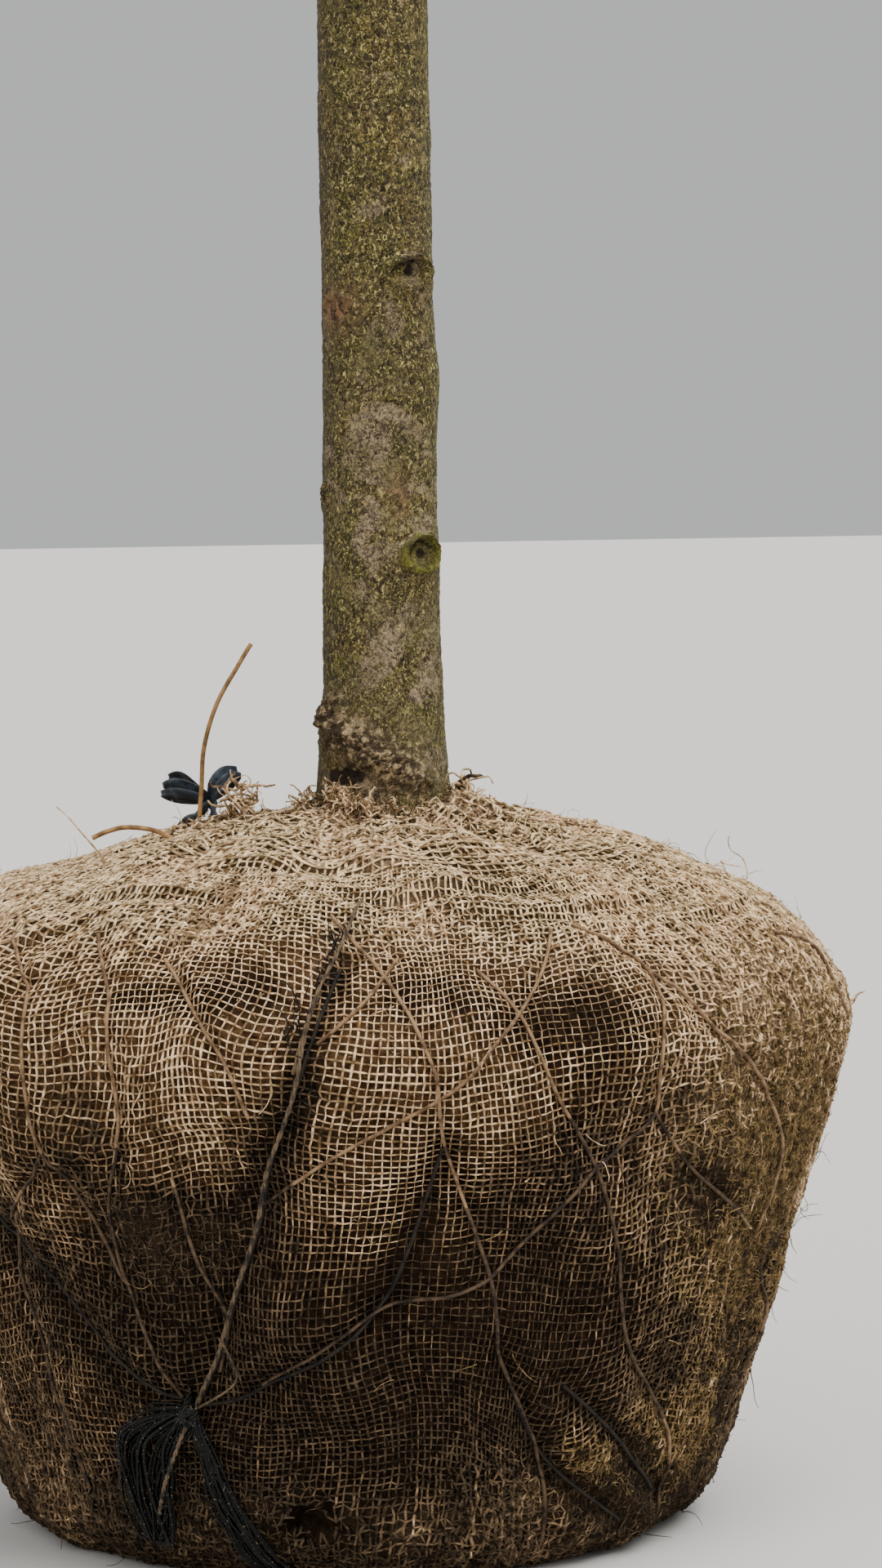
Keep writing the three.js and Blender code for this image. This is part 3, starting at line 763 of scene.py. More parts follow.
def makeBallCore(material):
    rise = np.concatenate([np.linspace(0, 40, 10)[:-1], np.linspace(40, wholeRise, ballMesh["up"])])
    bearing = np.linspace(0, 360, ballMesh["around"], endpoint=False)
    rise, bearing = np.meshgrid(rise, bearing, indexing="ij")
    relief, weather = surfaceAt(bearing, rise)
    hole = np.exp(-inHole(bearing, rise) ** 4)
    # inside the torn hole the soil takes its darkest colour: painted shade in the hole
    weather["damp"] = np.maximum(weather["damp"], hole)
    weather["matting"] = weather["matting"] * (1 - hole)
    depth = ballMesh["openDepth"] * (1 - weather["matting"]) + ballMesh["feltDepth"]
    depth += tornHole["depth"] * hole
    depth += 4 * weather["open"] + 2.2 * weather["dust"]
    lumps = np.random.default_rng(5).normal(0, 0.45, relief.shape)
    points = onWrap(bearing, rise, relief, smoothStep(rise, 0, 20) * (lumps - depth)).reshape(-1, 3)
    rings, sides = relief.shape
    points = np.concatenate([points, [[ball["footShift"], 0, 0], [0, 0, points[-sides:, 2].mean()]]])
    hair = np.clip(0.12 + 0.9 * weather["matting"], 0, 1) * smoothStep(rise, 26, 60) * (1 - hole)
    tangled = (1 - smoothStep(radiusAt(rise), 110, 215)) * weather["dust"]
    hair *= (1 - 0.75 * weather["dust"] + 0.9 * tangled) * (1 + 0.8 * weather["ochre"])
    tone = toneOf(weather, 0.2 * np.random.default_rng(6).normal(0, 1, relief.shape))
    looks = {name: np.append(values, [0.5, 0.5]) for name, values in weather.items()}
    for i, name in enumerate(toneNames):
        looks["hair_" + name] = np.append(hair * (tone == i), [0, 0])
    return makeObject("ball_surface", points, shellFaces(rings, sides), attributes=looks, material=material)


# The woven cloth: warps run up the ball, wefts run round it, and each passes over and under the other
weave = {
    "warps": 400,
    "spacing": 5.75,
    "thread": 0.98,
    "wave": 0.68,
    "proud": 1.0,
    "thinning": [(225, 2), (112, 4)],  # nearer the stem than this only every so many warps go on
    "drift": 6.0,
    "turned": [  # bearing, height, size and how far round
        (-16, 428, 40, -0.42), (-39, 416, 46, 0.34), (34, 440, 50, 0.25), (-4, 300, 60, 0.12),
        (32, 110, 55, 0.35), (150, 420, 60, 0.3), (-120, 380, 60, -0.3),
    ],
    "shake": 2.4,
    "leastShake": 0.42,
    "play": 0.1,  # how far the tone of one thread strays from its neighbours'
}


def byTone(points, radii, tone):  # splits one thread where its tone changes
    start = 0
    for i in range(1, len(tone) + 1):
        if i == len(tone) or tone[i] != tone[start]:
            stop = min(i + 1, len(tone))
            if tone[start] != noTone and stop - start > 1:
                yield tone[start], chain(points[start:stop], radii[start:stop])
            start = i


def weavePlaces(rise, bearing, degrees):  # the even grid of crossings, drifted and turned out of true
    drift = weave["drift"]
    loose = smoothStep(rise, 0, 60) * (1 - smoothStep(rise, rise.max() - 30, rise.max()))
    aside = makeField(31, 230)(bearing, rise) + 0.1 * makeField(32, 70)(bearing, rise)
    upward = makeField(33, 250)(bearing, rise) + 0.1 * makeField(34, 72)(bearing, rise)
    bearingAt = bearing + degrees * drift * aside
    riseMoved = rise + loose * drift * upward
    for place, level, size, angle in weave["turned"]:
        across = turnedFrom(bearing, place) / degrees
        up = rise - riseAt(level)
        share = angle * np.exp(-(across ** 2 + up ** 2) / size ** 2)
        bearingAt = bearingAt - degrees * share * up
        riseMoved = riseMoved + share * across
    return bearingAt, riseMoved, loose


def makeWeave():
    warps = weave["warps"]
    rows = int((wholeRise - 22) / weave["spacing"])
    rise = 5 + np.arange(rows) * weave["spacing"]
    riseGrid, bearingGrid = np.meshgrid(rise, np.arange(warps) * 360 / warps, indexing="ij")
    degrees = 180 / math.pi / ball["radius"]
    bearingAt, riseMoved, loose = weavePlaces(riseGrid, bearingGrid, degrees)
    relief, weather = surfaceAt(bearingAt, riseMoved)
    matting, dust, ochre = weather["matting"], weather["dust"], weather["ochre"]
    onDome = riseGrid > riseAt(ball["waistHeight"])
    every = np.ones(rows, int)
    for near, share in weave["thinning"]:
        every[onDome[:, 0] & (radiusAt(rise) < near)] = share
    random = np.random.default_rng(35)
    tangled = (1 - smoothStep(radiusAt(riseGrid), 130, 215)) * onDome
    shake = weave["shake"] * matting * (1 - 0.6 * dust + 1.3 * tangled) + weave["leastShake"]
    bearingAt += degrees * shake * random.normal(0, 0.6, relief.shape)
    riseMoved += loose * shake * random.normal(0, 0.6, relief.shape)
    over = (np.arange(rows)[:, None] + np.arange(warps)[None, :]) % 2 * 2 - 1
    sag = 0.5 * shake * random.normal(0, 0.5, relief.shape) - 0.9 * matting - 1.3 * ochre
    swollen = matting ** 2 * (0.6 - 0.3 * dust) * (1 - ochre)
    thick = weave["thread"] * (1 + 0.14 * mottleField(bearingAt, riseMoved) + swollen)
    thick *= random.uniform(0.8, 1.2, relief.shape) * (1 - 0.4 * weather["open"])
    gathered = every[:, None] * radiusAt(riseMoved) / ball["radius"]
    thick *= np.clip(1.2 * gathered, 0.66, 1)
    mottle = 0.16 * mottleField(bearingAt, riseMoved) + 0.06 * random.normal(0, 1, relief.shape)
    torn = inHole(bearingAt, riseMoved) < 1.05 + 0.2 * random.normal(0, 1, relief.shape)
    found = {}
    for kind, side in (("warp", 1), ("weft", -1)):
        points = onWrap(bearingAt, riseMoved, relief, weave["proud"] + sag + side * over * weave["wave"])
        points[..., 2] = np.maximum(points[..., 2], thick)
        if kind == "warp":
            runs = [(slice(0, int(np.sum(i % every == 0))), i) for i in range(warps)]
        else:
            runs = [(j, np.arange(0, warps + 1, every[j]) % warps) for j in range(rows)]
        for where in runs:
            own = weave["play"] * random.normal() + 0.5 * mottle[where]
            toned = toneOf({look: values[where] for look, values in weather.items()}, own)
            toned = np.where(torn[where], noTone, toned)
            for index, piece in byTone(points[where], thick[where], toned):
                found.setdefault((kind, toneNames[index]), []).append(piece)
    for (kind, name), chains in sorted(found.items()):
        yield tubes("hessian_" + kind + "_" + name, chains, 3, threadFinishes[name])


def onCloth(route, proud):  # points along a route, so far out of the cloth
    relief, weather = surfaceAt(route[:, 0], route[:, 1])
    return onWrap(route[:, 0], route[:, 1], relief, proud), weather


def makeNet():
    finishes = {
        "dry": makePlainFinish("dryWire", "wire", 0.8, (86, 64, 42), (146, 118, 88)),
        "wet": makePlainFinish("wetWire", "wire", 0.8, (30, 22, 15), (88, 69, 50)),
    }
    found = {"dry": [], "wet": []}
    for route in netRoutes:
        points, weather = onCloth(route, netWire["proud"])
        radii = np.full(len(points), netWire["radius"])
        for wet, piece in byTone(points, radii, (weather["damp"] > 0.55).astype(int)):
            found["wet" if wet else "dry"].append(piece)
    return [tubes("net_" + name, chains, 5, finishes[name]) for name, chains in found.items()]


# Loose fibre on the cloth

fibres = {
    "lying": {"length": 6, "radius": 0.27, "Density": 40000.0, "Flattest": 0.0, "Steepest": 0.4},
    "standing": {"length": 6, "radius": 0.17, "Density": 5000.0, "Flattest": 0.5, "Steepest": 1.45},
    "combed": {"length": 9, "radius": 0.3, "Density": 95000.0, "Flattest": 0.0, "Steepest": 0.5},
}
combedTones = ("golden",)  # where the fibre lies thickest
fibreBends = [(1.6, 0.7), (-1.9, 0.4), (2.3, 0.9), (-1.2, 1.0), (2.6, 0.3)]


def makeFibreShapes(name, length, radius):
    group = bpy.data.collections.new(name)
    for i, (sideways, up) in enumerate(fibreBends):
        middle = (length * 0.5, sideways, up)
        tip = (length, sideways * -0.4, up * 0.4)
        ring = [(0, math.cos(a) * radius, math.sin(a) * radius) for a in (0.5, 2.6, 4.7)]
        points = ring + [tuple(np.add(middle, corner)) for corner in ring] + [tip]
        faces = [[[0, 1, 4, 3], [1, 2, 5, 4], [2, 0, 3, 5]], [[3, 4, 6], [4, 5, 6], [5, 3, 6], [2, 1, 0]]]
        shape = makeObject(name + str(i), points, faces)
        bpy.context.scene.collection.objects.unlink(shape)
        group.objects.link(shape)
    return group


def makeFuzz(surface):
    scatterTree = makeScatterTree()
    for seed, (kind, style) in enumerate(fibres.items()):
        shapes = makeFibreShapes(kind, style["length"], style["radius"])
        for tone in combedTones if kind == "combed" else toneNames:
            source = surface.copy()
            bpy.context.scene.collection.objects.link(source)
            inputs = {**style, "Shapes": shapes, "Where": "hair_" + tone, "Seed": 40 + seed}
            inputs["Material"] = threadFinishes[tone]
            yield grown("fibre_" + kind + "_" + tone, source, scatterTree, inputs)
        for shape in list(shapes.objects):
            bpy.data.objects.remove(shape)
        bpy.data.collections.remove(shapes)


def curl(random, start, heading, length, bend, radius, steps=12):
    # one stray fibre or thread end that wanders off in curves
    points = [np.asarray(start, float)]
    heading = unit(np.asarray(heading, float))
    turn = random.normal(0, bend, 3)
    for i in range(steps):
        points.append(points[-1] + heading * length / steps)
        turn = 0.7 * turn + random.normal(0, bend * 0.6, 3)
        heading = unit(heading + turn)
    return chain(points, radius * np.linspace(1, 0.45, steps + 1))


# Tufts round the stem's foot: bearing, distance out, spread both ways, how high, how many and how thick
tufts = [
    (-31, 69, 10, 10, 27, 300, 1.0),
    (-14, 70, 9, 9, 16, 130, 1.0),
    (4, 69, 12, 8, 11, 70, 1.0),
    (30, 70, 10, 8, 9, 40, 1.0),
    (74, 64, 10, 8, 30, 60, 1.5),
    (-62, 74, 12, 9, 20, 50, 1.1),
    (-86, 112, 6, 12, 30, 60, 1.6),
    (-80, 140, 8, 16, 12, 30, 1.0),
    (110, 74, 20, 10, 14, 46, 1.0),
    (165, 76, 24, 10, 12, 46, 1.0),
    (-130, 78, 22, 10, 14, 46, 1.0),
    (20, 90, 60, 12, 5, 60, 1.0),
]
strayCount = 420  # short ones, all over
strayPlaces = [  # long ones: bearing, height, length, radius, how much it bends
    (84, 500, 60, 0.8, 0.28),
    (80, 508, 44, 0.7, 0.35),
    (91, 402, 15, 1.3, 0.12),
    (91, 399, 12, 1.0, 0.2),
    (-60, 525, 70, 1.2, 0.1),
]


def makeStrays():
    # thread ends round the stem's foot, stray fibres, and a few long ones
    random = np.random.default_rng(51)
    found = {"dusty": [], "dry": [], "golden": [], "wet": [], "faded": []}
    outward = profileRadii[::-1]
    for bearing, out, aside, along, pile, count, thick in tufts:
        for i in range(count):
            turned = bearing + aside * random.normal(0, 0.6)
            radius = max(61, out + along * random.normal(0, 0.6))
            ground = np.interp(radius, outward, profileHeights[::-1])
            away = math.hypot((turned - bearing) / aside, (radius - out) / along)
            start = onBearing(turned, radius, ground + pile * random.uniform(0, 1) * math.exp(-away * away))
            heading = onBearing(turned + random.normal(0, 80), 0.8, random.uniform(-0.1, 0.7))
            piece = curl(random, start, heading, random.uniform(8, 26) * thick, 0.8,
                         random.uniform(0.5, 1.2) * thick, 14)
            piece["points"][:, 2] = np.clip(piece["points"][:, 2], ground - 1, ground + 1.25 * pile + 3)
            # curls that start low in a tuft lean to the darker tones: painted shade deep in the pile
            tone = random.uniform() + 0.25 * (start[2] - ground < 3)
            name = "dusty" if tone < 0.34 else "dry" if tone < 0.6 else "faded" if tone < 0.88 else "wet"
            found[name].append(piece)
    for bearing, height, length, thick, bend in strayPlaces:
        rise = riseAt(height)
        heading = outOf(bearing, rise) + 0.5 * onBearing(bearing + 90, 1, 0.3)
        found["dry"].append(curl(random, onWrap(bearing, rise, proud=1), heading, length, bend, thick, 16))
    for i in range(strayCount):
        bearing = random.uniform(-180, 180)
        rise = random.uniform(20, wholeRise - 60)
        height = heightAt(rise)
        point, normal = onWrap(bearing, rise, proud=1.4), outOf(bearing, rise)
        side = onBearing(bearing + 90, 1, 0)
        spin = random.uniform(0, 2 * math.pi)
        heading = math.cos(spin) * side + math.sin(spin) * np.cross(normal, side) + 0.35 * normal
        tone = "wet" if height < 150 else "golden" if height < 300 else "dry"
        piece = curl(random, point, heading, random.uniform(12, 34), 0.22, 0.42, 8)
        piece["points"][:, 2] = np.maximum(piece["points"][:, 2], 0.6)
        found[tone].append(piece)
    return [tubes("stray_threads_" + tone, chains, 4, threadFinishes[tone]) for tone, chains in found.items()]


# Black twine

twine = {
    "knot": (-23.5, 134),
    "strand": [(-6, 452), (-7, 430), (-8.5, 374), (-11.5, 320), (-13.5, 266), (-18.5, 188), (-23.5, 134)],
    "second": [(-2, 508), (-3.5, 484), (-6, 452), (-7, 430), (-8.5, 392)],
    "frayed": [(-4, 486), (-6, 462), (-7.5, 438), (-9.5, 418)],
    "loop": [
        (-23.5, 134), (-29, 129), (-33.5, 113), (-34.5, 84), (-33.5, 56), (-31.6, 36), (-30, 58), (-29, 86),
        (-27, 112), (-23.5, 134),
    ],
    "smallLoop": [(-19, 190), (-17.2, 166), (-20.5, 146), (-23.5, 134)],
    "tail": [(-23.5, 134), (-21.8, 102), (-19.6, 68), (-16.6, 36), (-13, 7)],
    "wire": [(-23.5, 134), (-26, 100), (-28, 76), (-30.8, 42)],
    "turns": 11,  # of the knot
    "loopStrands": 24,
    "tailStrands": 20,
    "ends": 5,  # short, out of the knot
    "fluff": 34,  # where the strand has frayed
}


def twineRoute(route, sideways, proud, radius, step=4.0, frayed=0.0, wander=()):
    line = alongRoute(route, step)
    share = np.linspace(0, 1, len(line))
    for i, reach in enumerate(wander):
        line[:, i % 2] += reach * np.sin(math.pi * (1 + i // 2 + 0.5 * i) * share) / (5.5, 1)[i % 2]
    bowed = np.sin(math.pi * np.clip(share * 1.2, 0, 1))
    line[:, 0] += sideways * (bowed * (1 - frayed) + share * frayed) / 5.5
    relief = surfaceAt(line[:, 0], line[:, 1])[0]
    lift = proud * (1 + 1.6 * np.sin(math.pi * share) * (1 - frayed))
    points = onWrap(line[:, 0], line[:, 1], 0.6 * relief, lift)
    points[:, 2] = np.maximum(points[:, 2], radius + 0.3)
    return chain(points, radius)


def twisted(line, radius, plies, pitch, spread):  # cords laid round a line
    points = line["points"]
    along = unit(np.gradient(points, axis=0))
    side = unit(np.cross(along, (0, -1, 0.1)))
    up = np.cross(side, along)
    length = np.concatenate([[0], np.cumsum(np.linalg.norm(np.diff(points, axis=0), axis=1))])
    for ply in range(plies):
        angle = (2 * math.pi * (length / pitch + ply / plies))[:, None]
        yield chain(points + spread * (np.cos(angle) * side + np.sin(angle) * up), radius)


def makeLowerTie(material):
    # the knot, its loop and its tail, low on the front
    random = np.random.default_rng(61)
    chains = []
    bearing, height = twine["knot"]
    knot, normal = onWrap(bearing, riseAt(height), proud=5), outOf(bearing, riseAt(height))
    for i in range(twine["turns"]):
        first = unit(random.normal(0, 1, 3))
        second = unit(np.cross(first, random.normal(0, 1, 3)))
        turn = np.linspace(0, 2 * math.pi, 18, endpoint=False)[:, None]
        ring = random.uniform(4, 8) * (np.cos(turn) * first + np.sin(turn) * second)
        chains.append(chain(knot + ring * (1.2, 0.8, 1) - (ring @ normal)[:, None] * normal * 0.4,
                            random.uniform(1.5, 2.3), True))
    for i in range(twine["loopStrands"]):
        chains.append(twineRoute(twine["loop"], random.normal(0, 9), random.uniform(2, 6),
                                 random.uniform(0.6, 1.6), wander=random.normal(0, 4.5, 4)))
    for i in range(twine["tailStrands"]):
        chains.append(twineRoute(twine["tail"], random.uniform(-22, 22), random.uniform(2.5, 6),
                                 random.uniform(0.8, 1.9), frayed=0.9, wander=random.normal(0, 2.4, 4)))
    for i in range(twine["ends"]):
        heading = normal + random.normal(0, 0.9, 3)
        chains.append(curl(random, knot, heading, random.uniform(16, 28), 0.2, 1.6))
    frayed = alongRoute(twine["frayed"], 3.0)
    for i in range(twine["fluff"]):
        bearing, rise = frayed[random.integers(len(frayed))]
        bearing += random.normal(0, 0.4)
        point = onWrap(bearing, rise, proud=2.5)
        heading = (0.2 * random.normal(), 0.1, random.choice([-1, 1])) + 0.1 * outOf(bearing, rise)
        chains.append(curl(random, point, heading, random.uniform(10, 24), 0.16, random.uniform(0.4, 0.9), 7))
    return tubes("twine_knot_and_loops", chains, 6, material)


def makeStrand(material):
    # the strand that runs up from the knot, a second one above it, the twisted wire that runs down from the
    # knot, and a small loop
    chains = []
    for name, reach in (("strand", 1.25), ("second", 1.0)):
        line = twineRoute(twine[name], 0, 3, reach, 2.5)
        chains += twisted(line, 0.85 * reach, 2, 21, 0.7 * reach)
    chains += twisted(twineRoute(twine["wire"], 0, 8, 1.1, 2.5), 0.95, 2, 13, 0.8)
    chains.append(twineRoute(twine["smallLoop"], 6, 4, 0.9))
    return tubes("twine_strand", chains, 6, material)


def makeCords(material):
    chains = [chain(onCloth(route, cord["proud"])[0], cord["radius"]) for route in valleyRoutes]
    return tubes("valley_cords", chains, 5, material)


bow = {
    "place": (-128, 540),
    "lift": 7,
    "width": 12,
    "pinch": 0.62,  # how much a loop narrows where it turns back
    "thickness": 1.0,
    "loops": [  # sideways, back and up from where it is tied
        [(6, 0, 18), (-6, -7, 26), (-20, -8, 31), (-31, -1, 29), (-22, 6, 27), (-8, 5, 22), (6, 1, 17)],
        [(6, 0, 16), (-8, -10, 20), (-22, -11, 23), (-33, -3, 22), (-22, 3, 19), (-8, 2, 17), (6, 1, 16)],
        [(6, 0, 18), (-7, -3, 30), (-17, -4, 37), (-26, 1, 36), (-17, 5, 33), (-6, 4, 25), (6, 1, 18)],
        [(6, 0, 18), (10, -7, 30), (18, -7, 39), (28, -1, 41), (21, 5, 36), (13, 5, 28), (6, 1, 18)],
        [(6, 0, 16), (12, -8, 24), (22, -8, 34), (31, -2, 36), (22, 3, 29), (12, 3, 21), (6, 1, 16)],
        [(6, 0, 16), (0, -5, 8), (-10, -9, 1), (-22, -12, -9)],
        [(6, 0, 18), (8, 0, 12), (9, 1, 2), (8, 2, -12)],
    ],
}


def makeBow(material):
    # flat ribbon, bent into standing loops behind the ball's left shoulder
    random = np.random.default_rng(62)
    bearing, height = bow["place"]
    foot = onWrap(bearing, riseAt(height))
    foot[2] += bow["lift"]
    edge = (-1, -0.33, 0.33, 1)
    rows = [(u, 0.5) for u in edge] + [(u, -0.5) for u in edge[::-1]]
    points, faces = [], []
    for loop in bow["loops"]:
        path = smoothPath(foot + np.array(loop, float), 7)
        along = unit(np.gradient(path, axis=0))
        across = unit(np.array([0.1, -0.35, 1.0]) + 0.25 * random.normal(0, 1, 3))
        across = unit(across - (along @ across)[:, None] * along)
        face = np.cross(across, along)
        share = np.linspace(0, 1, len(path))[:, None]
        fullness = np.sin(math.pi * np.clip(share * 0.96 + 0.02, 0, 1)) ** 0.6
        half = bow["width"] / 2 * (0.3 + 0.7 * fullness)
        half = half * (1 - bow["pinch"] * np.exp(-((share - 0.5) / 0.13) ** 2))
        crease = 0.8 * np.sin(share * 14 + random.uniform(0, 6))
        start = len(points)
        ring = [path + across * half * u + face * (v * bow["thickness"] + crease * (1 - u * u))
                for u, v in rows]
        points.extend(np.stack(ring, 1).reshape(-1, 3))
        faces.append(ringFaces(len(path), len(rows)) + start)
        last = start + (len(path) - 1) * len(rows)
        faces.append([[start + k for k in (7, 6, 5, 4, 3, 2, 1, 0)]])
        faces.append([[last + k for k in range(8)]])
    points = np.array(points)
    points[:, 2] = np.minimum(points[:, 2], foot[2] + 47)
    return makeObject("bow_ribbon", points, faces, material=material)


wireEnds = {  # stiff, over the ball's left shoulder: one stands up and one lies
    "radius": 1.9,
    "paths": [
        [(-150, 30, 535), (-146, 28, 575), (-143, 24, 610), (-132, 22, 645), (-114, 20, 676),
         (-104, 20, 692)],
        [(-160, -60, 540), (-178, -62, 550), (-200, -62, 553), (-215, -62, 550), (-227, -62, 545)],
    ],
}


def makeWireEnds(material):
    chains = [chain(smoothPath(points, 6), wireEnds["radius"]) for points in wireEnds["paths"]]
    return tubes("wire_ends", chains, 8, material)


# Stem

stem = {
    "foot": 559.3,
    "height": 4500,
    "fullHeight": 5040,
    "radius": 47,
    "taperPower": 0.75,
    "tipRadius": 3,
    "flare": 11,
    "flareHeight": 34,
    "swayX": [(-4, 640), (12, 1900)],
    "swayY": [(5, 900), (-6, 2100)],
    "swellings": [(53, 426, 5, 24), (48, 200, 5, 24), (75, 332, 5, 46), (-43, 393, 4, 24), (-30, 48, 9, 34),
                  (150, 890, 5, 26), (-120, 1420, 5, 26), (20, 1760, 4, 26)],
    "sides": 136,
    "rings": [(-22, 690, 2.0), (690, 2000, 9.5), (2000, 4500, 14.0)],
}
knotMeasures = ("bearing", "height", "wide", "tall", "lid", "hollow", "mossy")
knots = [dict(zip(knotMeasures, knot)) for knot in (  # pruning scars
    (34, 422, 19, 11, 6, 7, 0.3),
    (40, 203, 15, 13, 6, 7, 1),
    (-43, 393, 21, 11, 2, 2.5, 0.1),
    (-77, 246, 8, 10, 2, 5, 0.4),
    (24, 255, 11, 19, 0.9, 1.2, 0.1),
    (150, 890, 20, 12, 3.5, 4, 0.5),
    (-120, 1420, 18, 12, 3, 4, 0.4),
    (20, 1760, 17, 11, 3, 4, 0.4),
)]
footRidge = {"from": (-56, 84), "to": (27, 22), "proud": 7, "wide": 14}
footHollow = {"across": -27, "height": 30, "wide": 17, "tall": 10, "deep": 8}


def swayAt(height, bends):
    return sum(reach * np.sin(height / over) for reach, over in bends)


def stemPoint(height):
    height = np.asarray(height, float)
    return np.stack([swayAt(height, stem["swayX"]), swayAt(height, stem["swayY"]), stem["foot"] + height], -1)


def stemThickness(height):
    taper = np.maximum(0, 1 - height / stem["fullHeight"]) ** stem["taperPower"]
    return stem["radius"] * taper + stem["tipRadius"] * (1 - taper)


def stemSurface(bearing, height):
    angle = np.radians(bearing)
    lobes = 1 + 0.35 * np.sin(3 * angle + 0.8) + 0.2 * np.sin(5 * angle)
    surface = stem["flare"] * lobes * np.exp(-np.maximum(height, 0) / stem["flareHeight"])
    wave = 1 + 0.02 * np.sin(2 * angle + height / 210) + 0.012 * np.sin(height / 75)
    surface += stemThickness(height) * wave
    for knotBearing, knotHeight, proud, width in stem["swellings"]:
        aside = np.radians(turnedFrom(bearing, knotBearing)) * stem["radius"]
        away = np.hypot(aside, height - knotHeight) / width
        surface += proud * np.exp(-away * away)
    return surface


def cloud(points, size, octaves=2):
    return np.array([noise.fractal(Vector(point), 1.0, 2.0, octaves) for point in (points / size).tolist()])


def addKnots(relief, around, up, coarse, fine):  # and says how hollow each place is, and how much of a lip
    hollow, lip = np.zeros_like(up), np.zeros_like(up)
    for knot in knots:
        wide, tall = knot["wide"], knot["tall"]
        u = np.radians(turnedFrom(around, knot["bearing"])) * stem["radius"] / wide + 0.16 * coarse
        v = (up - knot["height"]) / tall + 0.16 * fine
        away = np.hypot(u, v + 0.25 * u * u)
        upper = 1 + 0.5 * v / np.maximum(away, 0.3)
        rim = np.exp(-((away - 1.02) / 0.24) ** 2)
        groove = np.exp(-((away - 0.68) / 0.14) ** 2) * upper
        slit = np.exp(-(u * u * wide ** 2 + v * v * tall ** 2 + 6 * fine) / knot["hollow"] ** 2 / 0.5)
        wrinkle = np.exp(-away / 1.1) * np.sin(8 * away) * smoothStep(away, 1.1, 1.4)
        relief += knot["lid"] * rim * upper - knot["hollow"] * (0.35 * groove + 0.8 * slit)
        relief += 1.8 * wrinkle
        hollow = np.maximum(hollow, (0.6 * groove + 1.3 * slit) * min(1, knot["hollow"] / 4))
        lip = np.maximum(lip, np.where(away < 1.02, 0.5 + 0.5 * rim, rim) * knot["mossy"])
    return hollow, lip


def addFoot(relief, across, up, scales, coarse, fine):  # the flaky ridge across the foot and its hollow
    start, stop = np.array(footRidge["from"], float), np.array(footRidge["to"], float)
    way = stop - start
    along = ((across - start[0]) * way[0] + (up - start[1]) * way[1]) / (way @ way)
    beside = ((across - start[0]) * way[1] - (up - start[1]) * way[0]) / math.hypot(*way)
    band = smoothStep(along, -0.1, 0.08) * (1 - smoothStep(along, 0.85, 1.2))
    flaky = band * np.exp(-(beside / (footRidge["wide"] * 1.5)) ** 2)
    ridge = band * footRidge["proud"] * np.exp(-(beside / footRidge["wide"]) ** 2)
    relief += ridge + 10 * scales * flaky - 2 * flaky
    pit = np.exp(-np.hypot((across - footHollow["across"]) / footHollow["wide"] + 0.5 * coarse,
                           (up - footHollow["height"]) / footHollow["tall"] + 0.5 * fine) ** 2)
    relief -= footHollow["deep"] * pit
    return flaky, smoothStep(pit, 0.25, 0.7)


def addBoughRoots(relief, around, up, limbs):  # the bark swells under each bough
    for limb in limbs:
        if limb["boughEnd"] > 0:
            spot = np.radians(turnedFrom(around, limb["bearing"])) * stemThickness(up)
            size = limb["rootRadius"] * 1.5
            away = np.hypot(spot / size, (up - limb["height"] - 1.1 * size) / (1.25 * size))
            relief += 0.28 * limb["rootRadius"] * np.exp(-away * away)


def makeStem(material, limbs):
    height = np.concatenate([np.arange(*step) for step in stem["rings"]] + [[stem["height"]]])
    rings, sides = len(height), stem["sides"]
    up, around = np.meshgrid(height, np.arange(sides) * 360 / sides, indexing="ij")
    surface = stemSurface(around, up)
    turned = turnedFrom(around)
    across = np.radians(turned) * stem["radius"]
    flat = (stemPoint(up) + onBearing(around, surface, 0)).reshape(-1, 3)
    coarse = cloud(flat * (1, 1, 0.7), 30, 3).reshape(up.shape)
    fine = cloud(flat * (1, 1, 1.2), 8, 2).reshape(up.shape)
    scales = np.abs(cloud(flat * (1, 1, 1.5), 10, 3)).reshape(up.shape)
    ridges = np.maximum(0, 0.2 - np.abs(fine)) / 0.2
    age = stemThickness(up) / stem["radius"]
    relief = age * (1.3 * coarse + 0.6 * ridges + 0.4 * fine)
    hollow, lip = addKnots(relief, around, up, coarse, fine)
    flaky, pit = addFoot(relief, across, up, scales, coarse, fine)
    addBoughRoots(relief, around, up, limbs)
    points = (stemPoint(up) + onBearing(around, surface + relief, 0)).reshape(-1, 3)
    points = np.concatenate([points, stemPoint([0, stem["height"]])])
    green = 0.4 + 0.9 * coarse + 0.6 * lip
    green += 0.55 * np.exp(-((turned - 84) / 24) ** 2) + 0.35 * np.exp(-((turned + 48) / 26) ** 2)
    rust = np.exp(-(((turned + 43) / 24) ** 2 + ((up - 393) / 16) ** 2))
    rust += 0.7 * np.exp(-(((turned - 21) / 11) ** 2 + ((up - 249) / 18) ** 2))
    worn = (1 - smoothStep(up, 330, 450)) * (0.4 + 0.9 * np.exp(-((turned - 12) / 38) ** 2)) - 0.3 * lip
    looks = {
        "hollow": np.maximum(hollow, pit),
        "shade": np.exp(-((turned + 92) / 34) ** 2) * smoothStep(up, 0, 30),
        "green": np.clip(green, 0, 1.3),
        "rust": rust,
        "flaky": flaky,
        "lip": lip,
        "worn": worn,
        "ridges": ridges * (0.4 + 0.6 * age),
    }
    looks = {name: np.append(values, [0, 0]) for name, values in looks.items()}
    return makeObject("stem", points, shellFaces(rings, sides), attributes=looks, material=material)


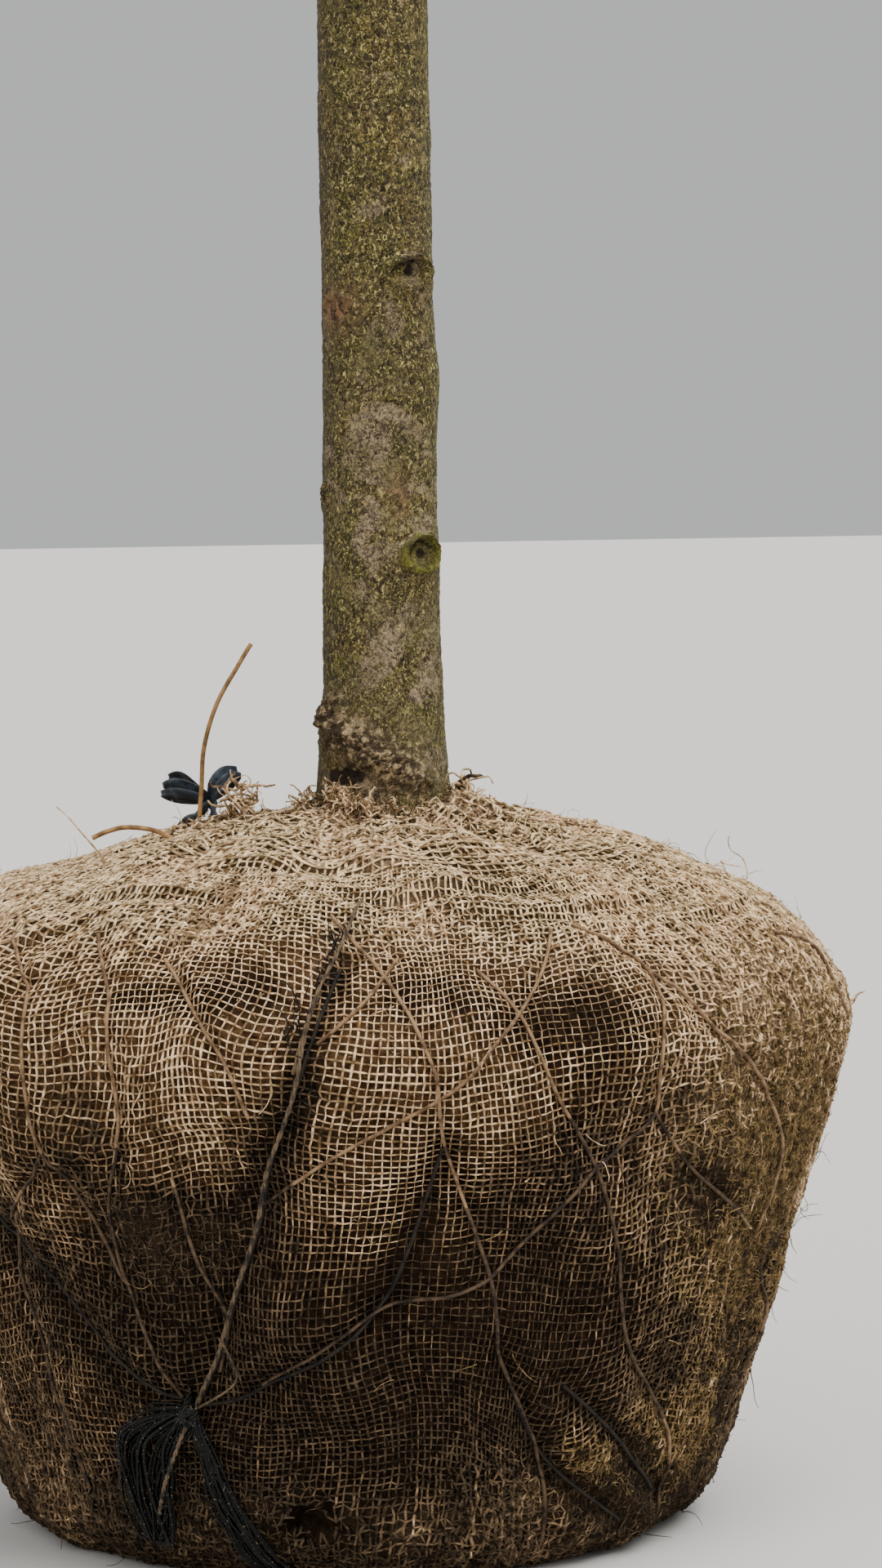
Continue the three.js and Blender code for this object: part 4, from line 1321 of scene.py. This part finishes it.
def makeBarkFinish():
    finish = Finish("oliveBark", Roughness=0.85, Specular_IOR_Level=0.3)
    tall = finish.stretched(1, 0.7)
    worn = (finish.noise(38, 5, 0.66, 0.6) + finish.attribute("worn") * 0.1).rising(0.55, 0.66)
    moss = (finish.noise(26, 5, 0.7) + finish.attribute("green") * 0.3).rising(0.58, 0.8)
    speckle = finish.noise(2.7, 3, 0.65, 1.2, tall)
    curls = finish.noise(6.5, 3, 0.5, 2.2)
    grain = finish.noise(8, 4, 0.7, 0.8)
    cracks = 1 - (finish.noise(10, 4, 0.6, 1.4) - 0.5).size().rising(0.004, 0.03)
    base = finish.mix(finish.noise(44, 4, 0.6, place=tall).rising(0.4, 0.62), (70, 63, 14), (102, 84, 29))
    layers = [  # from the first to the last laid on: how much, and its colour
        (worn * 0.88, (152, 132, 108)),
        (moss * 0.7, (84, 82, 20)),
        (finish.noise(60, 3, 0.6).rising(0.42, 0.6) * 0.42, (48, 41, 14)),
        # the next six layers follow the relief (dark pits, dark and pale curled lines, dark cracks, pale
        # ridges and pale flecks): partly the bark's own colour, partly painted shade in its hollows and
        # painted highlight on its rims
        ((1 - speckle.rising(0.43, 0.51)) * (1 - worn * 0.4), (20, 14, 4)),
        ((1 - (curls - 0.5).size().rising(0.005, 0.035)) * grain.rising(0.4, 0.5), (24, 16, 6)),
        ((1 - (curls - 0.56).size().rising(0.005, 0.03)) * 0.22, (196, 178, 124)),
        (cracks * grain.rising(0.44, 0.56), (42, 28, 16)),
        (finish.attribute("ridges") * 0.2, (150, 136, 94)),
        (speckle.rising(0.56, 0.66) * (1 - worn * 0.65) * 0.75, (204, 186, 122)),
    ]
    scales = finish.noise(7, 4, 0.75, 0.5)
    flaky = finish.attribute("flaky")
    layers += [
        (flaky, finish.mix(scales.rising(0.46, 0.66), (48, 34, 19), (178, 154, 116))),
        (finish.attribute("shade") * 0.5, (58, 44, 36)),
        (finish.attribute("rust"), finish.mix(scales.rising(0.4, 0.6), (46, 27, 16), (128, 96, 66))),
        (finish.attribute("lip").rising(0.2, 0.9) * 0.75,
         finish.mix(grain.rising(0.4, 0.6), (54, 55, 14), (116, 112, 38))),
        # knot hollows and the pit at the foot are painted near black: painted shade in the recesses
        (finish.attribute("hollow").rising(0.35, 0.85) * 0.92, (30, 18, 10)),
    ]
    for share, tint in layers:
        base = finish.mix(share, base, tint)
    finish.feed("Base Color", base)
    finish.bump(speckle * 0.5 + grain * 0.8 - cracks * 0.3 + scales * flaky, 2.4)
    return finish.material


# Crown: limbs, twigs and buds by the same rule as the solids, carried to finer twigs

crown = {
    "boughs": 15,
    "lowest": 2120,
    "highest": 4330,
    "lowLength": 1400,
    "highLength": 560,
    "belly": 0.1,
    "lowAngle": 58,
    "highAngle": 36,
    "tipAngle": 20,
    "firstBearing": 25,
    "thickness": 0.4,
    "tipRadius": 1.6,
    "taperPower": 0.8,
    "share": 1 / 3,
    "steps": 12,
    "drift": 9,
    "beyond": 6,  # how far the finer twigs may reach past the solid's own
}
spurs = {
    "count": 7, "lowest": 2260, "highest": 4240, "length": 430, "angle": 62, "tipAngle": 30, "radius": 5.5,
    "tipRadius": 1.4, "steps": 4, "tryEvery": 15, "rootDepth": 0.6,
}
leader = {"bearing": 40, "lean": 3, "tipLean": 5, "steps": 5}
twigCounts = {"bough": 8, "spur": 4, "leader": 7}
twigRule = {
    "clearance": 6, "steps": 2, "lift": 0.24, "taper": 0.75, "lengthTries": (1, 0.72, 0.5),
    "firstPlace": 0.12, "placeRange": 0.82, "spinPlay": 0.5, "spread": 38, "spreadPlay": 16,
    "length": 0.62, "lengthLoss": 0.42, "leastLength": 0.8, "lengthPlay": 0.4, "thickness": 0.62,
}
sideRule = {
    "firstPlace": 0.3, "placePlay": 0.1, "spread": 0.6, "spreadPlay": 0.25, "length": 0.62, "lengthLoss": 0.3,
    "thickness": 0.6,
}


def seededRandom(seed):  # the same draws as the solids were made with
    state = seed

    def draw():
        nonlocal state
        state = state * 48271 % 2147483647
        return state / 2147483647

    return draw


def limbPath(start, bearing, startAngle, endAngle, length, steps):
    share = (np.arange(steps) + 0.5) / steps
    lean = np.radians(startAngle + (endAngle - startAngle) * share)
    drift = bearing + crown["drift"] * np.sin(share * 5 + bearing)
    headings = onBearing(drift, np.sin(lean), np.cos(lean))
    points = np.concatenate([[start], start + np.cumsum(headings, 0) * length / steps])
    return {"points": points, "headings": np.concatenate([headings, headings[-1:]]), "length": length}


def onPath(path, share):
    last = len(path["points"]) - 1
    place = np.clip(np.asarray(share, float), 0, 1) * last
    i = np.minimum(place.astype(int), last - 1)
    part = (place - i)[..., None]
    point = path["points"][i] * (1 - part) + path["points"][i + 1] * part
    return point, unit(path["headings"][i] * (1 - part) + path["headings"][i + 1] * part)


def limbRadius(limb, share):
    return limb["tipRadius"] + (limb["rootRadius"] - limb["tipRadius"]) * (1 - share) ** crown["taperPower"]


def newLimb(path, rootRadius, seed, kind, **more):
    limb = {"path": path, "rootRadius": rootRadius, "tipRadius": crown["tipRadius"], "boughEnd": 0,
            "seed": seed, "twigs": twigCounts[kind], "sideTwigs": 1}
    return {**limb, **more}


def layOutBough(i):
    rise = i / (crown["boughs"] - 1)
    draw = seededRandom(4000 + 37 * i)
    height = crown["lowest"] + (crown["highest"] - crown["lowest"]) * rise + 40 * (draw() - 0.5)
    bearing = crown["firstBearing"] + goldenAngle * i + 16 * (draw() - 0.5)
    belly = 1 + crown["belly"] * math.sin(math.pi * rise)
    reach = crown["lowLength"] + (crown["highLength"] - crown["lowLength"]) * rise ** 1.25
    length = reach * belly * (0.93 + 0.14 * draw())
    angle = crown["lowAngle"] + (crown["highAngle"] - crown["lowAngle"]) * rise + 6 * (draw() - 0.5)
    path = limbPath(stemPoint(height), bearing, angle, crown["tipAngle"], length, crown["steps"])
    rootRadius = crown["thickness"] * stemThickness(height) + 2.5
    return newLimb(path, rootRadius, 900 + 61 * i, "bough", boughEnd=crown["share"], bearing=bearing,
                   height=height)


def freestPath(height, length, limbs):
    taken = np.concatenate([limb["path"]["points"] for limb in limbs])
    best, most = None, -1
    for bearing in range(0, 360, spurs["tryEvery"]):
        start = stemPoint(height) + onBearing(bearing, spurs["rootDepth"] * stemThickness(height), 0)
        path = limbPath(start, bearing, spurs["angle"], spurs["tipAngle"], length, spurs["steps"])
        clearance = np.linalg.norm(path["points"][1:, None] - taken[None], axis=2).min()
        if clearance > most:
            best, most = path, clearance
    return best


def layOutSpur(i, limbs):
    rise = i / (spurs["count"] - 1)
    draw = seededRandom(7000 + 53 * i)
    height = spurs["lowest"] + (spurs["highest"] - spurs["lowest"]) * rise + 30 * (draw() - 0.5)
    path = freestPath(height, spurs["length"] * (0.8 + 0.4 * draw()), limbs)
    return newLimb(path, spurs["radius"], 2600 + 61 * i, "spur", tipRadius=spurs["tipRadius"], sideTwigs=0)


def layOutLeader():
    foot = stem["height"]
    length = stem["fullHeight"] - foot
    path = limbPath(stemPoint(foot), leader["bearing"], leader["lean"], leader["tipLean"], length,
                    leader["steps"])
    return newLimb(path, stemThickness(foot), 3301, "leader")


def layOutLimbs():
    limbs = [layOutBough(i) for i in range(crown["boughs"])]
    for i in range(spurs["count"]):
        limbs.append(layOutSpur(i, limbs))
    return limbs + [layOutLeader()]


def spaceTest(limbs):  # a twig keeps to the space nearest its own limb, and clear of the bare wood
    axes = np.stack([onPath(limb["path"], np.linspace(limb["boughEnd"], 1, 11))[0] for limb in limbs])
    wood, radii = [], []
    for limb in limbs:
        if limb["boughEnd"] > 0:
            share = np.linspace(0, limb["boughEnd"], 13)
            wood.append(onPath(limb["path"], share)[0])
            radii.append(limbRadius(limb, share))
    heights = np.arange(0, stem["height"] + 1, 40)
    wood = np.concatenate(wood + [stemPoint(heights)])
    radii = np.concatenate(radii + [stemThickness(heights)])

    def belongs(own, points, radius):
        room = radius + twigRule["clearance"]
        away = np.linalg.norm(points[:, None, None] - axes[None], axis=3).min(2)
        mine = away[:, own] + 2 * room
        away[:, own] = np.inf
        clear = np.linalg.norm(points[:, None] - wood[None], axis=2) > radii + room
        return bool((away >= mine[:, None]).all() and clear.all())

    return belongs


def growTwig(parent, share, spin, spread, length, rootRadius):
    point, along = onPath(parent, share)
    across = unit(np.array([1.0, 0, 0]) - along[0] * along)
    other = np.cross(across, along)
    heading = math.cos(spread) * along + math.sin(spread) * (math.cos(spin) * across + math.sin(spin) * other)
    heading = unit(heading)
    points, headings = [point], []
    for i in range(twigRule["steps"]):
        headings.append(heading)
        points.append(points[-1] + heading * length / twigRule["steps"])
        heading = unit(heading + (0, 0, twigRule["lift"]))
    return {"points": np.array(points), "headings": np.array(headings + headings[-1:]), "length": length,
            "rootRadius": rootRadius}


def staysIn(belongs, own, twig):
    return belongs(own, onPath(twig, np.arange(1, 9) / 8)[0], twig["rootRadius"])


def growMass(limb, own, belongs):  # the solids' own twigs, draw for draw
    draw = seededRandom(limb["seed"])
    twigs = []
    stemLength = limb["path"]["length"] * (1 - limb["boughEnd"])
    for i in range(limb["twigs"]):
        along = twigRule["firstPlace"] + twigRule["placeRange"] * i / limb["twigs"]
        share = limb["boughEnd"] + (1 - limb["boughEnd"]) * along
        spin = math.radians(goldenAngle * i) + twigRule["spinPlay"] * draw()
        spread = math.radians(twigRule["spread"] + twigRule["spreadPlay"] * draw())
        reach = stemLength * (twigRule["length"] - twigRule["lengthLoss"] * along)
        length = reach * (twigRule["leastLength"] + twigRule["lengthPlay"] * draw())
        radius = limbRadius(limb, share) * twigRule["thickness"] + 0.5
        children = [(sideRule["firstPlace"] + sideRule["placePlay"] * draw(), 2 * math.pi * draw(),
                     sideRule["spread"] + sideRule["spreadPlay"] * draw()) for j in range(limb["sideTwigs"])]
        tries = (growTwig(limb["path"], share, spin, spread, length * part, radius)
                 for part in twigRule["lengthTries"])
        twig = next((candidate for candidate in tries if staysIn(belongs, own, candidate)), None)
        if twig is None:
            continue
        twigs.append(twig)
        for place, childSpin, childSpread in children:
            childLength = twig["length"] * (sideRule["length"] - sideRule["lengthLoss"] * place)
            childRadius = sideRule["thickness"] * radius + 0.4
            child = growTwig(twig, place, childSpin, childSpread, childLength, childRadius)
            if staysIn(belongs, own, child):
                twigs.append(child)
    return twigs


fineTwigs = {
    "fromLimb": {"every": 62, "least": 0.16, "most": 0.4, "thickness": 0.5},
    "fromTwig": {"every": 44, "least": 0.2, "most": 0.48, "thickness": 0.55},
    "fromSide": {"every": 34, "least": 0.2, "most": 0.5, "thickness": 0.6},
    "shortest": 16,
    "thinnest": 0.62,
    "firstPlace": 0.12,
    "placeRange": 0.84,
    "lengthLoss": 0.55,
    "spinPlay": 0.45,
    "spread": (0.55, 0.95),
}


def finerTwigs(parent, thicknessAt, start, style, own, belongs, random):
    # more twigs along a parent, on alternate sides, shorter towards its tip
    found = []
    length = parent["length"] * (1 - start)
    count = int(length / style["every"])
    turn = random.uniform(0, 2 * math.pi)
    for i in range(count):
        step = fineTwigs["placeRange"] * (i + random.uniform(0.1, 0.9)) / count
        place = start + (1 - start) * (fineTwigs["firstPlace"] + step)
        fade = 1 - fineTwigs["lengthLoss"] * (place - start) / (1 - start)
        reach = length * fade * random.uniform(style["least"], style["most"])
        if reach < fineTwigs["shortest"]:
            continue
        spin = turn + math.pi * i + random.normal(0, fineTwigs["spinPlay"])
        radius = max(fineTwigs["thinnest"] * 1.5, thicknessAt(place) * style["thickness"])
        twig = growTwig(parent, place, spin, random.uniform(*fineTwigs["spread"]), reach, radius)
        if staysIn(belongs, own, twig):
            found.append(twig)
    return found


def twigRadius(twig):
    return lambda share: twig["rootRadius"] * (1 - twigRule["taper"] * share)


def growCrown(limbs):
    belongs = spaceTest(limbs)
    orders = {"main": [], "side": [], "fine": []}
    for own, limb in enumerate(limbs):
        random = np.random.default_rng(limb["seed"])
        first = growMass(limb, own, belongs)
        reach = np.concatenate([twig["points"] for twig in first] + [limb["path"]["points"]])
        low, high = reach.min(0) - crown["beyond"], reach.max(0) + crown["beyond"]

        def inReach(limbIndex, points, radius):
            return bool(((points > low) & (points < high)).all()) and belongs(limbIndex, points, radius)

        first += finerTwigs(limb["path"], lambda share: limbRadius(limb, share), limb["boughEnd"] + 0.02,
                            fineTwigs["fromLimb"], own, inReach, random)
        second = [twig for parent in first for twig in
                  finerTwigs(parent, twigRadius(parent), 0, fineTwigs["fromTwig"], own, inReach, random)]
        third = [twig for parent in second for twig in
                 finerTwigs(parent, twigRadius(parent), 0, fineTwigs["fromSide"], own, inReach, random)]
        for kind, twigs in zip(orders, (first, second, third)):
            orders[kind] += twigs
    return orders


def bentTube(points, radii, sides, relief=0.0):  # rings of points along a path, without twist
    along = unit(np.gradient(points, axis=0))
    side = unit(np.cross(along[0], (0.3, 0.9, 0.1)))
    rings = []
    turn = np.linspace(0, 2 * math.pi, sides, endpoint=False)[:, None]
    for point, radius, heading in zip(points, radii, along):
        side = unit(side - (side @ heading) * heading)
        spokes = np.cos(turn) * side + np.sin(turn) * np.cross(heading, side)
        rings.append(point + radius * spokes)
    rings = np.array(rings)
    if relief:
        centre = np.asarray(points)[:, None]
        wobble = cloud(rings.reshape(-1, 3) * (1, 1, 0.5), 14, 3).reshape(len(points), sides, 1)
        rings += relief * wobble * unit(rings - centre) * np.minimum(1, np.asarray(radii) / 12)[:, None, None]
    return rings.reshape(-1, 3)


def makeLimbs(limbs, material):
    points, faces = [], []
    start = 0
    for limb in limbs:
        main = limb["boughEnd"] > 0
        path = smoothPath(limb["path"]["points"], 8 if main else 5)
        share = np.linspace(0, 1, len(path))
        radii = limbRadius(limb, share)
        if main:
            radii = radii + 0.35 * limb["rootRadius"] * np.exp(-9 * share / limb["boughEnd"])
        sides = 14 if main else 9
        ring = bentTube(path, radii, sides, 1.3)
        points.append(ring)
        points.append(path[-1:] + unit(path[-1:] - path[-2:-1]) * 2)
        faces.append(ringFaces(len(path), sides) + start)
        tip = start + len(ring)
        faces.append(fan(tip, np.arange(sides) + start + (len(path) - 1) * sides))
        faces.append([list(range(start + sides - 1, start - 1, -1))])
        start = tip + 1
    return makeObject("boughs", np.concatenate(points), faces, material=material)


def twigChain(twig, steps, random):
    points = smoothPath(twig["points"], steps)
    share = np.linspace(0, 1, len(points))
    points[1:-1] += random.normal(0, 0.012 * twig["length"] / steps + 0.25, points[1:-1].shape)
    radii = np.maximum(fineTwigs["thinnest"], twigRadius(twig)(share))
    return chain(points, radii)


def makeTwigs(orders, material):
    random = np.random.default_rng(71)
    layout = {"main": (5, 6), "side": (3, 4), "fine": (2, 3)}
    for kind, twigs in orders.items():
        steps, sides = layout[kind]
        yield tubes("twigs_" + kind, [twigChain(twig, steps, random) for twig in twigs], sides, material)


buds = {"length": 6.5, "radius": 1.7, "every": 33, "sides": 4}


def makeBudShape():
    rings = [(0.3, 0.75), (0.62, 1.0)]
    turn = np.arange(buds["sides"]) * 2 * math.pi / buds["sides"]
    points = [[0, 0, -0.6]]
    for place, share in rings:
        radius = buds["radius"] * share
        points += [[radius * math.cos(a), radius * math.sin(a), place * buds["length"]] for a in turn]
    points.append([0, 0, buds["length"]])
    lower = np.arange(buds["sides"]) + 1
    upper = lower + buds["sides"]
    faces = fan(0, lower[::-1]) + fan(len(points) - 1, upper)
    return makeObject("bud", points, [ringFaces(2, buds["sides"]) + 1, faces])


def makeBuds(limbs, orders, material):
    # along every twig on alternate sides, and one at each tip
    random = np.random.default_rng(81)
    places, headings, sizes = [], [], []
    paths = [(limb["path"], lambda share, limb=limb: limbRadius(limb, share), 1.25) for limb in limbs]
    for kind, size in (("main", 1.1), ("side", 0.95), ("fine", 0.8)):
        paths += [(twig, twigRadius(twig), size) for twig in orders[kind]]
    for path, thicknessAt, size in paths:
        count = max(1, int(path["length"] / buds["every"]))
        share = (np.arange(count) + 0.55) / count
        share = share[share > 0.1]
        turn = random.uniform(0, 2 * math.pi) + math.pi * np.arange(len(share))[:, None]
        point, along = onPath(path, share)
        side = unit(np.cross(along, (0.2, 0.3, 0.9)))
        side = np.cos(turn) * side + np.sin(turn) * np.cross(along, side)
        places += [point + side * np.asarray(thicknessAt(share))[:, None] * 0.8, path["points"][-1:]]
        headings += [unit(0.8 * along + 0.6 * side), path["headings"][-1:]]
        sizes += [size * random.uniform(0.7, 1.1, len(share)), [size * 1.15]]
    places, headings, sizes = np.concatenate(places), np.concatenate(headings), np.concatenate(sizes)
    shape = makeBudShape()
    tree = makeBudTree()
    for part in range(2):
        pick = np.arange(len(places)) % 2 == part
        looks = {"heading": headings[pick], "size": sizes[pick]}
        source = makeObject("bud_points", places[pick], attributes=looks)
        yield grown("buds_" + str(part + 1), source, tree, {"Shape": shape, "Material": material})
    bpy.data.objects.remove(shape)


# Stage, light and camera

def makeStage():
    finish = Finish("paleFloor", Roughness=0.9, Base_Color=(0.56, 0.55, 0.53, 1))
    far, level = 150000, -0.5
    corners = [(-far, -far, level), (far, -far, level), (far, far, level), (-far, far, level)]
    floor = makeObject("floor", corners, [[[0, 1, 2, 3]]], material=finish.material)
    world = bpy.data.worlds.new("studio")
    bpy.context.scene.world = world
    world.use_nodes = True
    world.node_tree.nodes["Background"].inputs["Color"].default_value = (0.88, 0.89, 0.9, 1)
    world.node_tree.nodes["Background"].inputs["Strength"].default_value = 0.62


lights = {
    "sky_above": {"energy": 4.1, "angle": 50, "tilt": 26, "turn": 62, "tone": (1.0, 0.98, 0.95)},
    "sky_front": {"energy": 1.6, "angle": 60, "tilt": 62, "turn": -18, "tone": (1.0, 0.97, 0.93)},
    "sky_back": {"energy": 0.8, "angle": 50, "tilt": 55, "turn": 160, "tone": (0.95, 0.97, 1.0)},
}


def makeLights():
    for name, light in lights.items():
        data = bpy.data.lights.new(name, "SUN")
        data.energy = light["energy"]
        data.angle = math.radians(light["angle"])
        data.color = light["tone"]
        newObject(name, data).rotation_euler = (math.radians(light["tilt"]), 0, math.radians(light["turn"]))


camera = {"place": (0.048, -3.9, 0.79), "down": 3.09, "roll": 0.9, "lens": 113.6, "sensor": 36}


def makeCamera():
    data = bpy.data.cameras.new("photo_view")
    data.lens = camera["lens"]
    data.sensor_width = camera["sensor"]
    data.clip_end = 500
    made = newObject("photo_view", data)
    made.location = camera["place"]
    made.rotation_euler = (math.radians(90 - camera["down"]), math.radians(camera["roll"]), 0)
    bpy.context.scene.camera = made


makeCamera()
makeLights()
makeStage()
print("stage ready")

threadFinishes = {
    name: makePlainFinish("hessian" + name.capitalize(), "thread", 0.95, *tints)
    for name, tints in tones.items()
}
surface = makeBallCore(makeBallFinish())
addPiece(surface, "hessian_wrap", "root_ball", "hessian_collar")
print("ball surface ready")
for piece in makeWeave():
    addPiece(piece, "hessian_wrap")
for piece in makeNet():
    addPiece(piece, "hessian_wrap")
print("cloth and net ready")
for piece in makeFuzz(surface):
    addPiece(piece, "hessian_wrap")
for piece in makeStrays():
    addPiece(piece, "hessian_neck")
print("loose fibre ready")
twineFinish = makeTwineFinish()
addPiece(makeLowerTie(twineFinish), "black_twine", "lower_tie")
strandFinish = makePlainFinish("dirtyStrand", "wire", 0.8, (38, 32, 26), (104, 86, 64))
addPiece(makeStrand(strandFinish), "black_twine")
cordFinish = makePlainFinish("darkCord", "wire", 0.8, (10, 9, 8), (40, 32, 24))
addPiece(makeCords(cordFinish), "hessian_wrap")
ribbonFinish = makePlainFinish("bowRibbon", "ribbon", 0.5, (28, 35, 43), (78, 92, 104))
addPiece(makeBow(ribbonFinish), "black_twine", "upper_tie")
wireFinish = makePlainFinish("wireEnds", "wire", 0.8, (104, 76, 44), (158, 122, 78))
addPiece(makeWireEnds(wireFinish), "hessian_wrap")
print("ties ready")

limbs = layOutLimbs()
addPiece(makeStem(makeBarkFinish(), limbs), "bark", "trunk")
print("stem ready")
boughBark = makePlainFinish("boughBark", "twig", 0.8, (82, 72, 42), (122, 106, 74))
twigBark = makePlainFinish("twigBark", "twig", 0.6, (70, 50, 36), (112, 86, 62))
budSkin = makePlainFinish("budScales", "twig", 0.5, (84, 42, 30), (128, 72, 48))
addPiece(makeLimbs(limbs, boughBark), "bark", *[name for name in nodeNames if name.startswith("bough_")])
orders = growCrown(limbs)
masses = [name for name in nodeNames if name.startswith("twigs_")]
for piece in makeTwigs(orders, twigBark):
    addPiece(piece, "twigs", *masses)
    masses = []
for piece in makeBuds(limbs, orders, budSkin):
    addPiece(piece, "twigs")
print("crown ready")
